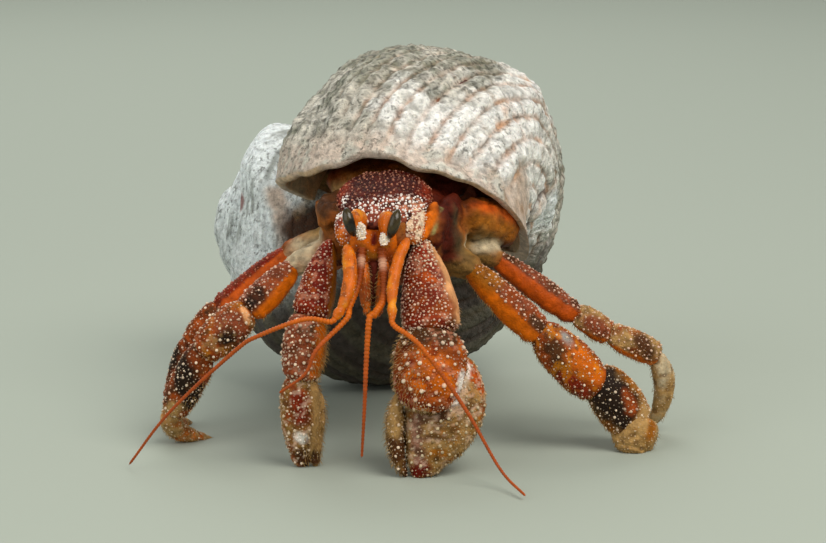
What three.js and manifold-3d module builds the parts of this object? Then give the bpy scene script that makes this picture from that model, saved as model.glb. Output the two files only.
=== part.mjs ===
// Strawberry land hermit crab (Coenobita perlatus) walking in a turban shell, at life size.
// Millimetres, +Z up. The crab faces -Y, so +X is its left side.
// Joints are given in a working frame whose ground lies at FLOOR; ORIGIN moves them to the model's own frame.
import * as THREE from 'three';
import { mergeVertices } from 'three/addons/utils/BufferGeometryUtils.js';
import Module from 'manifold-3d';

const wasm = await Module();
wasm.setup();

// ---------- driving dimensions ----------

const FLOOR = -24.6;
const ORIGIN = [-0.9, 20.33, FLOOR];
const GAP = 0.3; // clearance kept between neighbouring pieces

// Turban shell: a tube of growing section wound round a slanting axis.
const SHELL = {
  radius: 19.1, // half width of the tube at the aperture
  growth: 1.865, // size gained in one turn
  offset: 0.725, // distance of the tube's centre from the axis, in tube radii
  drop: 2.79, // distance of the tube's centre below the apex, in tube radii
  aspect: 1.0, // height of the tube's section over its width
  lipForward: 0.15, // how far the lip runs ahead at the outer side, in radians
  lipLow: 0.14, // how far the lip runs ahead at the lower side, in radians
  turns: 3.2,
  wall: 1.6,
  cord: 0.0165, // height of a spiral cord, in tube radii
  mouth: [-0.4, 20.8, 5.2], // centre of the aperture
  yaw: -43.6,
  pitch: 52.7,
  roll: 0.8,
};
const CORDS = 13; // spiral cords round the tube
const SHELL_SIDES = 2 * CORDS; // facets round the tube: a crest and a groove by turns
const SHELL_STEPS = 14; // steps in the last turn
const SPIRE_STEPS = 10; // steps in each earlier turn
const WELD = 1000; // lengths of the tube meet on a grid of a thousandth of a millimetre
const COLUMELLA = 0.04; // thickness of the central pillar, in tube radii
const CAVITY_TURNS = 0.84; // depth of the open chamber behind the lip

// ---------- colours ----------

const CHALK = 0xd8d2c6;
const WINE = 0x7a2a22;
const ORANGE = 0xd9661e;
const RUST = 0xb0521f;
const SKIN = 0xb5a58c;
const CORNEA = 0x1c211e;

// ---------- solids ----------

function solid(geometry) {
  geometry.deleteAttribute('normal');
  geometry.deleteAttribute('uv');
  const merged = mergeVertices(geometry);
  const vertProperties = Float32Array.from(merged.attributes.position.array);
  const triVerts = Uint32Array.from(merged.index.array);
  return new wasm.Manifold(new wasm.Mesh({ numProp: 3, vertProperties, triVerts }));
}

const between = (start, middle, end, t) =>
  start * (1 - t) * (1 - 2 * t) + 4 * middle * t * (1 - t) + end * t * (2 * t - 1);

// A round-ended solid bent along a curve from one joint to the next.
// half: [half width, half depth] at the start, middle and end.
// face: the way its broad outer side looks. via: a point the curve's middle passes through.
// blunt: 2 is an egg, higher keeps it full up to its ends. square: 2 is an ellipse in section.
// keel: how far the section is drawn towards a rounded triangle.
function limb(shape, grow = 0) {
  const { from, to, half, face = [0, 0, 1], blunt = 4, square = 2, keel = 0, sides = 9, rings = 6 } = shape;
  const start = new THREE.Vector3(...from);
  const end = new THREE.Vector3(...to);
  const middle = start.clone().add(end).multiplyScalar(0.5);
  const bend = shape.via ? new THREE.Vector3(...shape.via).multiplyScalar(2).sub(middle) : middle;
  const curve = new THREE.QuadraticBezierCurve3(start, bend, end);
  const geometry = new THREE.SphereGeometry(1, sides, rings);
  const vertices = geometry.attributes.position;
  for (let i = 0; i < vertices.count; i++) {
    const along = -vertices.getY(i);
    const t = (1 + along) / 2;
    const turn = Math.atan2(vertices.getZ(i), vertices.getX(i));
    const fullness = Math.max(0, 1 - Math.abs(along) ** blunt) ** (1 / blunt);
    const width = between(half[0][0], half[1][0], half[2][0], t) + grow;
    const depth = between(half[0][1], half[1][1], half[2][1], t) + grow;
    const ahead = curve.getTangent(t);
    const side = new THREE.Vector3(...face).cross(ahead).normalize();
    const out = new THREE.Vector3().crossVectors(ahead, side);
    const squared = (value) => Math.sign(value) * Math.abs(value) ** (2 / square);
    const drawn = fullness * (1 - keel * Math.sin(3 * turn));
    const point = curve.getPoint(t);
    point.addScaledVector(ahead, along * grow);
    point.addScaledVector(side, drawn * width * squared(Math.cos(turn)));
    point.addScaledVector(out, drawn * depth * squared(Math.sin(turn)));
    vertices.setXYZ(i, point.x, point.y, point.z);
  }
  return solid(geometry);
}

// A thin feeler of round section through a few points, tapering from one radius to the other.
function feeler({ points, radii, sides = 5, steps = 14 }, grow = 0) {
  const curve = new THREE.CatmullRomCurve3(points.map((point) => new THREE.Vector3(...point)));
  const geometry = new THREE.CylinderGeometry(1, 1, 1, sides, steps);
  const vertices = geometry.attributes.position;
  for (let i = 0; i < vertices.count; i++) {
    const t = 0.5 - vertices.getY(i);
    const ahead = curve.getTangent(t);
    const side = new THREE.Vector3(0, -1, 0.2).cross(ahead).normalize();
    const out = new THREE.Vector3().crossVectors(ahead, side);
    const radius = radii[0] + (radii[1] - radii[0]) * t + grow;
    const point = curve.getPoint(t);
    point.addScaledVector(ahead, (2 * t - 1) * grow);
    point.addScaledVector(side, radius * vertices.getX(i));
    point.addScaledVector(out, radius * vertices.getZ(i));
    vertices.setXYZ(i, point.x, point.y, point.z);
  }
  return solid(geometry);
}

function ground() {
  const depth = 20;
  const box = new THREE.BoxGeometry(200, 200, depth);
  box.translate(0, 20, FLOOR - depth / 2);
  return solid(box);
}

// ---------- the turban shell ----------

const quarter = new THREE.Matrix4().makeBasis(
  new THREE.Vector3(0, 0, 1), new THREE.Vector3(0, 1, 0), new THREE.Vector3(-1, 0, 0));
const shellTurn = new THREE.Matrix4()
  .makeRotationZ(THREE.MathUtils.degToRad(SHELL.yaw))
  .multiply(new THREE.Matrix4().makeRotationX(THREE.MathUtils.degToRad(SHELL.pitch)))
  .multiply(new THREE.Matrix4().makeRotationY(THREE.MathUtils.degToRad(SHELL.roll)))
  .multiply(quarter);

// A point on the wound tube. turn counts back from 0 at the lip; angle goes round the section.
function shellPoint(turn, angle, share, inset) {
  const { radius, growth, offset, drop, aspect, lipForward, lipLow, cord, mouth } = SHELL;
  const lip = lipForward * Math.cos(angle) + lipLow * Math.sin(angle);
  const theta = 2 * Math.PI * turn + lip * Math.max(0, 1 + turn / SHELL.turns) ** 6;
  const size = radius * growth ** (theta / (2 * Math.PI));
  const raised = share === 1 && inset === 0 ? cord * Math.sin(CORDS * angle) : 0;
  const section = (size * share - inset) / size + raised;
  const away = Math.max(COLUMELLA * size + inset, size * (offset + section * Math.cos(angle)));
  const point = new THREE.Vector3(
    away * Math.cos(-theta) - radius * offset,
    away * Math.sin(-theta),
    size * (-drop + section * aspect * Math.sin(angle)) + radius * drop);
  return point.applyMatrix4(shellTurn).add(new THREE.Vector3(...mouth));
}

function tube(from, to, { share = 1, inset = 0, sides = SHELL_SIDES } = {}) {
  const perTurn = from < -1.25 ? SPIRE_STEPS : SHELL_STEPS;
  const steps = Math.max(2, Math.round((to - from) * perTurn));
  const geometry = new THREE.CylinderGeometry(1, 1, 1, sides, steps);
  const vertices = geometry.attributes.position;
  for (let i = 0; i < vertices.count; i++) {
    const t = 0.5 - vertices.getY(i);
    const centred = Math.hypot(vertices.getX(i), vertices.getZ(i));
    const angle = Math.atan2(vertices.getZ(i), vertices.getX(i));
    const turn = from + (to - from) * t;
    const rim = shellPoint(turn, angle, share, inset);
    const outer = shellPoint(turn, 0, share, inset);
    const inner = shellPoint(turn, Math.PI, share, inset);
    const hub = outer.lerp(inner, 0.5);
    const point = hub.lerp(rim, centred).multiplyScalar(WELD).round().divideScalar(WELD);
    vertices.setXYZ(i, point.x, point.y, point.z);
  }
  return solid(geometry);
}

function woundTube(from, to) {
  const stretch = 0.4;
  const count = Math.ceil((to - from) / stretch);
  let wound = tube(from, from + (to - from) / count);
  for (let i = 1; i < count; i++) {
    wound = wound.add(tube(from + ((to - from) * i) / count, from + ((to - from) * (i + 1)) / count));
  }
  return wound;
}

function turbanShell() {
  const spire = woundTube(-SHELL.turns, 0);
  const earlier = woundTube(-SHELL.turns, -CAVITY_TURNS);
  const chamber = tube(-CAVITY_TURNS + 0.04, 0.04, { inset: SHELL.wall }).subtract(earlier);
  return spire.subtract(chamber);
}

// ---------- the crab's pieces ----------

const UP = [0, 0, 1];
const FRONT = [0, -1, 0];

const BODY = {
  carapace_shield: {
    from: [-4.9, -6.3, 6.9], via: [-3.9, 0.4, 8.8], to: [-2.9, 7.4, 10.6],
    half: [[2.8, 1.0], [6.0, 2.4], [5.4, 2.2]], blunt: 3, sides: 14, rings: 8,
  },
  face: {
    from: [-4.9, -4.9, 6.6], to: [-5.0, -6.0, 1.0],
    half: [[3.0, 1.3], [2.9, 1.6], [1.0, 1.0]], face: FRONT, sides: 8, rings: 5,
  },
  cheek_r: {
    from: [-9.0, -1.4, 8.0], to: [-8.4, -4.6, 4.2],
    half: [[1.2, 1.0], [1.5, 1.2], [1.0, 0.9]], face: [-0.6, -0.8, 0], sides: 8,
  },
  cheek_l: {
    from: [0.6, -2.2, 8.6], to: [-0.2, -4.8, 4.6],
    half: [[1.5, 1.0], [1.8, 1.2], [1.2, 0.9]], face: [0.5, -0.8, 0], sides: 8,
  },
  flank_r: {
    from: [-10.4, 0.2, 6.6], via: [-11.4, 5.0, 7.0], to: [-10.4, 11, 6.2],
    half: [[1.2, 1.8], [1.5, 2.4], [1.4, 2.0]], face: UP, sides: 8,
  },
  flank_l: {
    from: [3.0, -0.6, 6.6], via: [5.0, 4.4, 6.6], to: [5.0, 10.6, 5.8],
    half: [[1.1, 2.2], [1.5, 3.0], [1.4, 2.4]], face: UP, sides: 8,
  },
  thorax: {
    from: [-4.2, -3.4, 0.6], to: [-2.6, 15, 2.0],
    half: [[3.6, 2.4], [6.2, 4.2], [5.8, 4.2]], sides: 8, rings: 5,
  },
  carapace_rear: {
    from: [-3.0, 7.0, 8.0], via: [-2.0, 14, 9.4], to: [-1.0, 21, 9.0],
    half: [[5.6, 2.4], [9.8, 3.8], [7.0, 4.0]], sides: 10, rings: 6,
  },
  maxilliped_r: {
    from: [-6.3, -7.5, 2.8], via: [-6.2, -8.4, -0.8], to: [-5.7, -8.6, -4.2],
    half: [[0.8, 0.7], [0.85, 0.8], [0.5, 0.5]], face: FRONT, sides: 8,
  },
  maxilliped_l: {
    from: [-3.6, -7.5, 2.8], via: [-3.9, -8.4, -0.8], to: [-4.5, -8.6, -4.2],
    half: [[0.8, 0.7], [0.85, 0.8], [0.5, 0.5]], face: FRONT, sides: 8,
  },
};

// Eyes: an upright dark cornea on the end of a stalk flattened from side to side.
const EYES = {
  r: {
    stalk: { from: [-6.3, -3.6, 7.0], to: [-7.6, -8.6, 7.9], half: [[0.9, 1.3], [1.15, 1.8], [1.0, 1.8]] },
    cornea: { from: [-8.5, -8.0, 9.9], via: [-8.1, -8.9, 8.1], to: [-7.4, -8.2, 6.1] },
  },
  l: {
    stalk: { from: [-3.8, -3.6, 7.0], to: [-2.9, -8.6, 7.6], half: [[0.9, 1.3], [1.15, 1.8], [1.0, 1.8]] },
    cornea: { from: [-1.9, -8.0, 9.7], via: [-2.4, -8.9, 7.8], to: [-3.1, -8.2, 5.8] },
  },
};
const CORNEA_HALF = [[0.7, 0.6], [0.85, 0.75], [0.65, 0.6]];

// Antennae: a stout jointed stem, then a long whip.
const ANTENNAE = {
  r: {
    stem: {
      from: [-8.4, -7.4, 4.8], via: [-8.1, -11.2, 0.4], to: [-9.9, -13.6, -3.5],
      half: [[0.95, 0.9], [0.95, 0.9], [0.65, 0.6]], face: FRONT, sides: 8,
    },
    whip: [
      [-10.4, -14.1, -3.7], [-13.7, -14.6, -3.3], [-19.3, -14.4, -5.4], [-22.5, -13.6, -7.6],
      [-31.1, -10.4, -16.3], [-36.7, -7.5, -24.0],
    ],
  },
  l: {
    stem: {
      from: [-0.6, -6.6, 5.6], via: [-2.3, -9.8, 1.6], to: [-2.6, -13.2, -3.8],
      half: [[0.7, 0.7], [0.75, 0.7], [0.6, 0.55]], face: FRONT, sides: 8,
    },
    whip: [
      [-2.3, -13.9, -4.3], [1.0, -15.6, -6.6], [6.6, -15.8, -14.6], [11.0, -17.4, -22.0],
      [14.0, -22.8, -24.0],
    ],
  },
};
const WHIP_RADII = [0.38, 0.26];

// Antennules: a bent stalk and a hanging, tapering lash.
const ANTENNULES = {
  r: {
    stalk: [[-6.5, -6.9, 4.2], [-6.9, -9.9, 0.6], [-8.2, -12.6, -2.6]],
    lash: [[-8.5, -13.6, -3.6], [-12.1, -15.0, -7.1], [-13.6, -15.2, -10.2], [-16.9, -14.6, -12.8]],
    stalkRadii: [0.6, 0.42],
    lashRadii: [0.42, 0.27],
  },
  l: {
    stalk: [[-4.0, -6.9, 4.2], [-3.7, -10.4, -1.0], [-4.9, -13.4, -3.0]],
    lash: [[-5.5, -14.2, -3.4], [-5.9, -14.8, -9.0], [-6.1, -15.0, -14.0], [-6.5, -14.2, -21.3]],
    stalkRadii: [0.6, 0.45],
    lashRadii: [0.45, 0.26],
  },
};

// Claw legs, from the body outwards. The crab's left claw is the larger.
const CLAWS = {
  l: {
    base: { from: [2.2, 3.6, 1.2], to: [1.2, -1.2, 3.8], half: [[1.9, 1.9], [1.8, 1.8], [1.5, 1.6]] },
    merus: { from: [1.0, -2.4, 4.7], to: [2.2, -8.4, -6.6], half: [[1.3, 1.5], [2.9, 2.5], [3.7, 2.9]] },
    carpus: { from: [2.5, -8.8, -5.6], to: [1.3, -12.0, -15.9], half: [[3.5, 2.8], [4.7, 3.4], [3.2, 2.8]] },
    palm: {
      from: [6.6, -7.6, -9.4], via: [4.0, -9.2, -16.8], to: [0.5, -11.2, -25.0],
      half: [[2.6, 2.2], [4.9, 3.2], [2.2, 1.9]], blunt: 3,
    },
    dactyl: { from: [-2.4, -10.0, -16.8], to: [-2.2, -10.8, -24.9], half: [[0.8, 1.6], [1.0, 1.9], [0.6, 0.9]] },
  },
  r: {
    base: { from: [-9.4, 3.6, 1.2], to: [-10.2, -0.8, 3.6], half: [[1.6, 1.6], [1.4, 1.5], [1.1, 1.2]] },
    merus: { from: [-10.7, -1.8, 4.5], to: [-13.2, -6.4, -4.9], half: [[0.9, 1.1], [2.2, 2.0], [2.9, 2.3]] },
    carpus: { from: [-13.4, -6.6, -4.3], to: [-14.4, -7.8, -12.8], half: [[2.6, 2.2], [2.9, 2.6], [2.5, 2.2]] },
    palm: { from: [-14.5, -7.6, -12.0], to: [-14.4, -5.4, -24.9], half: [[2.3, 2.0], [2.6, 2.3], [1.0, 1.1]] },
    dactyl: { from: [-12.1, -6.6, -14.6], to: [-12.7, -5.4, -24.9], half: [[0.8, 1.2], [0.95, 1.4], [0.5, 0.7]] },
  },
};

// Walking legs: joints from the body to the tip, and half sizes of each length.
const LEGS = {
  leg1_r: {
    face: [-0.5, -0.7, 0.5],
    base: { from: [-9.0, 5.0, 0.6], to: [-15.6, 4.2, 0.2], half: [[1.5, 1.5], [1.5, 1.6], [1.3, 1.5]] },
    merus: { from: [-15.6, 4.2, 0.2], to: [-21.8, 1.0, -5.6], half: [[1.6, 1.3], [2.4, 1.7], [2.6, 1.8]] },
    carpus: { from: [-21.5, 1.0, -5.0], to: [-27.9, 0.4, -11.0], half: [[2.3, 1.8], [2.9, 2.2], [2.4, 2.0]] },
    propodus: { from: [-27.3, 0.6, -10.2], to: [-32.0, 4.0, -19.9], half: [[2.2, 1.8], [2.6, 2.1], [2.0, 1.7]] },
    dactyl: {
      from: [-31.9, 4.0, -19.2], via: [-31.4, 6.4, -22.7], to: [-27.0, 9.6, -24.8],
      half: [[1.7, 1.5], [1.5, 1.3], [0.6, 0.5]], face: [-0.8, -0.3, -0.5],
    },
  },
  leg2_r: {
    face: [-0.6, -0.4, 0.6],
    base: { from: [-8.6, 10.0, 1.2], to: [-16.0, 9.8, 1.4], half: [[1.5, 1.5], [1.5, 1.6], [1.3, 1.5]] },
    merus: { from: [-16.2, 9.6, 1.2], to: [-26.0, 8.0, -6.8], half: [[1.5, 1.2], [2.1, 1.5], [2.2, 1.6]] },
    carpus: { from: [-25.6, 8.0, -6.2], to: [-29.8, 8.2, -11.6], half: [[1.9, 1.5], [2.2, 1.7], [2.0, 1.6]] },
    propodus: { from: [-29.6, 8.2, -10.8], to: [-32.4, 11.0, -19.9], half: [[1.8, 1.5], [2.1, 1.7], [1.7, 1.4]] },
    dactyl: {
      from: [-32.3, 11.2, -19.2], via: [-32.4, 13.8, -22.8], to: [-30.3, 18.0, -24.8],
      half: [[1.4, 1.2], [1.3, 1.1], [0.6, 0.5]], face: [-0.9, -0.3, -0.3],
    },
  },
  leg1_l: {
    face: [0.4, -0.7, 0.6],
    base: { from: [2.4, 5.0, 0.4], to: [7.4, 3.4, 0.0], half: [[1.5, 1.6], [1.7, 1.8], [1.3, 1.5]] },
    merus: { from: [7.0, 3.2, 0.4], to: [17.0, 1.4, -8.8], half: [[1.3, 1.4], [2.3, 1.8], [2.6, 1.9]] },
    carpus: { from: [16.4, 1.6, -7.9], to: [24.8, 2.4, -16.3], half: [[2.4, 2.0], [3.4, 2.4], [2.8, 2.2]] },
    propodus: { from: [24.2, 2.8, -14.2], to: [30.0, 3.6, -21.6], half: [[2.8, 2.2], [3.8, 2.6], [3.5, 2.3]] },
    dactyl: { from: [29.9, 3.2, -20.0], to: [28.7, 1.6, -25.0], half: [[3.1, 2.2], [3.2, 2.2], [2.0, 1.4]] },
  },
  leg2_l: {
    face: [0.5, -0.5, 0.7],
    base: { from: [2.8, 10.0, 1.2], to: [10.6, 10.0, 0.4], half: [[1.5, 1.5], [1.5, 1.6], [1.3, 1.4]] },
    merus: { from: [10.4, 10.0, 0.4], to: [22.0, 9.0, -7.9], half: [[1.3, 1.3], [2.1, 1.6], [2.1, 1.6]] },
    carpus: { from: [21.6, 9.0, -7.3], to: [26.4, 9.0, -10.3], half: [[1.8, 1.5], [2.1, 1.7], [1.9, 1.5]] },
    propodus: { from: [25.9, 9.0, -9.9], to: [33.0, 10.0, -13.3], half: [[1.7, 1.5], [2.1, 1.8], [2.0, 1.7]] },
    dactyl: {
      from: [32.4, 10.2, -13.2], via: [33.8, 11.6, -18.9], to: [31.2, 13.2, -25.15],
      half: [[1.6, 1.4], [1.5, 1.3], [0.6, 0.5]], face: [0.9, -0.3, -0.2],
    },
  },
};

const LEG_KEEL = 0.06;

// Small fourth legs folded inside the mouth of the shell, which they steady.
const HOOKS = {
  r: { from: [-9.2, 13.6, 3.6], via: [-11.6, 12.4, 5.4], to: [-12.6, 11.2, 7.6] },
  l: { from: [3.6, 13.6, 3.6], via: [6.6, 12.4, 4.8], to: [8.8, 11.4, 6.4] },
};
const HOOK_HALF = [[1.3, 1.2], [1.2, 1.1], [0.8, 0.8]];

// ---------- assembly ----------

const COLOURS = [
  [/^shell/, CHALK, 0.85],
  [/^eye_/, CORNEA, 0.15],
  [/shield|merus/, WINE, 0.6],
  [/antenn|maxilliped|eyestalk/, ORANGE, 0.5],
  [/base|thorax|rear|abdomen|hook|flank/, SKIN, 0.6],
  [/./, RUST, 0.6],
];

const crab = new THREE.Group();
const pieces = new Map(); // name: { shape, grown }

function add(name, make) {
  pieces.set(name, { shape: make(0), grown: make(GAP) });
}

const earth = ground();

function mesh(name, shape) {
  const parts = shape.subtract(earth).decompose();
  const largest = parts.reduce((best, part) => (part.volume() > best.volume() ? part : best));
  const { vertProperties, triVerts } = largest.getMesh();
  const geometry = new THREE.BufferGeometry();
  geometry.setAttribute('position', new THREE.BufferAttribute(vertProperties, 3));
  geometry.setIndex(new THREE.BufferAttribute(triVerts, 1));
  geometry.translate(-ORIGIN[0], -ORIGIN[1], -ORIGIN[2]);
  const [, color, roughness] = COLOURS.find(([pattern]) => pattern.test(name));
  const made = new THREE.Mesh(geometry, new THREE.MeshStandardMaterial({ color, roughness, metalness: 0 }));
  made.name = name;
  return made;
}

for (const [name, shape] of Object.entries(BODY)) add(name, (grow) => limb(shape, grow));
for (const [side, { stalk, cornea }] of Object.entries(EYES)) {
  add(`eyestalk_${side}`, (grow) => limb({ ...stalk, face: UP, blunt: 3, sides: 8, rings: 5 }, grow));
  add(`eye_${side}`, (grow) => limb({ ...cornea, half: CORNEA_HALF, face: FRONT, blunt: 2.4, sides: 8 }, grow));
}
for (const [side, { stem, whip }] of Object.entries(ANTENNAE)) {
  add(`antenna_${side}_stem`, (grow) => limb(stem, grow));
  add(`antenna_${side}_whip`, (grow) => feeler({ points: whip, radii: WHIP_RADII, steps: 15 }, grow));
}
for (const [side, { stalk, lash, stalkRadii, lashRadii }] of Object.entries(ANTENNULES)) {
  add(`antennule_${side}_stalk`, (grow) => feeler({ points: stalk, radii: stalkRadii, steps: 7 }, grow));
  add(`antennule_${side}_lash`, (grow) => feeler({ points: lash, radii: lashRadii, steps: 10 }, grow));
}
for (const [side, lengths] of Object.entries(CLAWS)) {
  for (const [part, shape] of Object.entries(lengths)) {
    add(`claw_${side}_${part}`, (grow) => limb({ face: FRONT, ...shape }, grow));
  }
}
for (const [leg, { face, ...lengths }] of Object.entries(LEGS)) {
  for (const [part, shape] of Object.entries(lengths)) {
    add(`${leg}_${part}`, (grow) => limb({ face, keel: LEG_KEEL, ...shape }, grow));
  }
}
for (const [side, shape] of Object.entries(HOOKS)) {
  add(`hook_leg_${side}`, (grow) => limb({ ...shape, half: HOOK_HALF, face: FRONT, sides: 7 }, grow));
}
add('abdomen', (grow) => tube(-0.64, -0.04, { share: 0.57, inset: -grow, sides: 9 }));
add('shell', turbanShell);

// Where two pieces meet, the one later in this order gives way to the earlier with a gap.
const ORDER = [
  /shield/, /^eye_/, /whip/, /lash/, /stem/, /stalk/, /maxilliped/, /cheek/, /face/,
  /dactyl/, /propodus/, /carpus/, /palm/, /merus/, /base/,
  /hook/, /flank/, /rear/, /thorax/, /abdomen/, /shell/,
];
const rank = (name) => ORDER.findIndex((pattern) => pattern.test(name));
const ranked = [...pieces.keys()].sort((a, b) => rank(a) - rank(b));
const boxOf = (shape) => {
  const { min, max } = shape.boundingBox();
  return new THREE.Box3(new THREE.Vector3(...min), new THREE.Vector3(...max));
};
ranked.forEach((name, place) => {
  const piece = pieces.get(name);
  for (const earlier of ranked.slice(0, place)) {
    const { grown } = pieces.get(earlier);
    if (boxOf(piece.shape).intersectsBox(boxOf(grown))) piece.shape = piece.shape.subtract(grown);
  }
});

for (const [name, { shape }] of pieces) crab.add(mesh(name, shape));

export default crab;
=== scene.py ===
"""A life-size strawberry land hermit crab (Coenobita perlatus) walking in a worn turban shell.

Laid out as a Blender add-on and run as a script. Tables of joints are in millimetres in a working
frame whose ground lies at ORIGIN[2]; place() moves them to the model's own frame, in metres.
"""

import math

import bpy
import numpy as np
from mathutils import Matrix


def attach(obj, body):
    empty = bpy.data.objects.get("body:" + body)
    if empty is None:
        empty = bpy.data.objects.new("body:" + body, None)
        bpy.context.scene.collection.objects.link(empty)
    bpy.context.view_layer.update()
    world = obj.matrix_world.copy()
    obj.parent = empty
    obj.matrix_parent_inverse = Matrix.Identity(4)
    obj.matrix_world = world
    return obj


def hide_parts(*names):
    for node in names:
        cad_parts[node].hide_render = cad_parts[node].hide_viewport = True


bl_info = {
    "name": "Hermit crab in a turban shell",
    "version": (1, 0, 0),
    "blender": (4, 5, 0),
    "location": "3D View > Sidebar > Hermit crab",
    "description": "Builds a life-size land hermit crab with its shell, granules and bristles",
    "category": "Add Mesh",
}

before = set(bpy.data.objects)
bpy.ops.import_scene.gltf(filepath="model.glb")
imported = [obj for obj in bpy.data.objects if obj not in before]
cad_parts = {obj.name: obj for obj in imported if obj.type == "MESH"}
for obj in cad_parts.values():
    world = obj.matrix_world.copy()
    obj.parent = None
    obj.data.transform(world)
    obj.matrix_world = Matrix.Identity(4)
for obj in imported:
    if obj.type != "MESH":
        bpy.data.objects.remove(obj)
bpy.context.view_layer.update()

# ---------- sizes of the animal, in millimetres ----------

ORIGIN = np.array([-0.9, 20.33, -24.6])
MM = 0.001
UP = (0, 0, 1)
FRONT = (0, -1, 0)

# The wound tube: growth with each turn; distance from the axis and drop along it, in radii of the tube; slant of
# the lip; turns back from the mouth; middle of the mouth in millimetres; how the axis is turned, in degrees; radius
# of the columella.
SHELL = {
    "growth": 1.865, "offset": 0.725, "drop": 2.79, "lip_forward": 0.15, "lip_low": 0.14,
    "turns": 3.2, "mouth": (-0.4, 20.8, 5.2), "yaw": -43.6, "pitch": 52.7, "roll": 0.8,
    "columella": 0.04,
}

# Each length: ends, an optional point the middle passes through, and [half width, half depth] at
# the start, middle and end.
BODY = {
    "carapace_shield": dict(a=(-4.9, -6.3, 6.9), via=(-3.9, 0.4, 8.8), b=(-2.9, 7.4, 10.6),
                            half=((2.8, 1.0), (6.1, 2.7), (5.6, 2.6)), blunt=3),
    "face": dict(a=(-4.9, -4.9, 6.6), b=(-5.0, -6.0, 1.0), half=((3.0, 1.3), (2.9, 1.6), (1.0, 1.0)),
                 face=FRONT),
    "cheek_r": dict(a=(-9.0, -1.4, 8.0), b=(-8.4, -4.6, 4.2), half=((1.2, 1.0), (1.5, 1.2), (1.0, 0.9)),
                    face=(-0.6, -0.8, 0)),
    "cheek_l": dict(a=(0.6, -2.2, 8.6), b=(-0.2, -4.8, 4.6), half=((1.5, 1.0), (1.8, 1.2), (1.2, 0.9)),
                    face=(0.5, -0.8, 0)),
    "flank_r": dict(a=(-10.4, 0.2, 6.6), via=(-11.4, 5.0, 7.0), b=(-10.4, 11, 6.2),
                    half=((1.2, 1.8), (1.5, 2.4), (1.4, 2.0))),
    "flank_l": dict(a=(3.0, -0.6, 6.6), via=(5.0, 4.4, 6.6), b=(5.0, 10.6, 5.8),
                    half=((1.1, 2.2), (1.5, 3.0), (1.4, 2.4))),
    "thorax": dict(a=(-4.2, -3.4, 0.6), b=(-2.6, 15, 2.0), half=((3.6, 2.4), (6.2, 4.2), (5.8, 4.2))),
    "carapace_rear": dict(a=(-3.0, 7.0, 8.0), via=(-2.0, 14, 9.4), b=(-1.0, 21, 9.0),
                          half=((5.6, 2.4), (9.8, 3.8), (7.0, 4.0))),
    "maxilliped_r": dict(a=(-6.3, -7.5, 2.8), via=(-6.2, -8.4, -0.8), b=(-5.7, -8.6, -4.2),
                         half=((0.8, 0.7), (0.85, 0.8), (0.5, 0.5)), face=FRONT),
    "maxilliped_l": dict(a=(-3.6, -7.5, 2.8), via=(-3.9, -8.4, -0.8), b=(-4.5, -8.6, -4.2),
                         half=((0.8, 0.7), (0.85, 0.8), (0.5, 0.5)), face=FRONT),
}
STALK_HALF = ((0.9, 1.3), (1.15, 1.8), (1.0, 1.8))
CORNEA_HALF = ((0.7, 0.6), (0.85, 0.75), (0.65, 0.6))
EYES = {
    "eyestalk_r": dict(a=(-6.3, -3.6, 7.0), b=(-7.6, -8.6, 7.9), half=STALK_HALF, blunt=3),
    "eyestalk_l": dict(a=(-3.8, -3.6, 7.0), b=(-2.9, -8.6, 7.6), half=STALK_HALF, blunt=3),
    "eye_r": dict(a=(-8.5, -8.0, 9.9), via=(-8.1, -8.9, 8.1), b=(-7.4, -8.2, 6.1), half=CORNEA_HALF,
                  face=FRONT, blunt=2.4),
    "eye_l": dict(a=(-1.9, -8.0, 9.7), via=(-2.4, -8.9, 7.8), b=(-3.1, -8.2, 5.8), half=CORNEA_HALF,
                  face=FRONT, blunt=2.4),
}
SCALES = {  # pale warty scales between the eyestalks
    "scale_r": dict(a=(-6.9, -8.1, 8.1), b=(-6.4, -8.5, 5.7), half=((0.45, 0.5), (0.72, 0.62), (0.55, 0.5)),
                    face=FRONT, blunt=2.6),
    "scale_l": dict(a=(-3.7, -8.0, 6.7), b=(-3.6, -8.3, 4.9), half=((0.4, 0.4), (0.68, 0.55), (0.5, 0.45)),
                    face=FRONT, blunt=2.6),
}
STEMS = {
    "antenna_r_stem": dict(a=(-8.4, -7.4, 4.8), via=(-8.1, -11.2, 0.4), b=(-9.9, -13.6, -3.5),
                           half=((0.95, 0.9), (0.95, 0.9), (0.65, 0.6)), face=FRONT),
    "antenna_l_stem": dict(a=(-0.6, -6.6, 5.6), via=(-2.3, -9.8, 1.6), b=(-2.6, -13.2, -3.8),
                           half=((0.7, 0.7), (0.75, 0.7), (0.6, 0.55)), face=FRONT),
}
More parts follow.
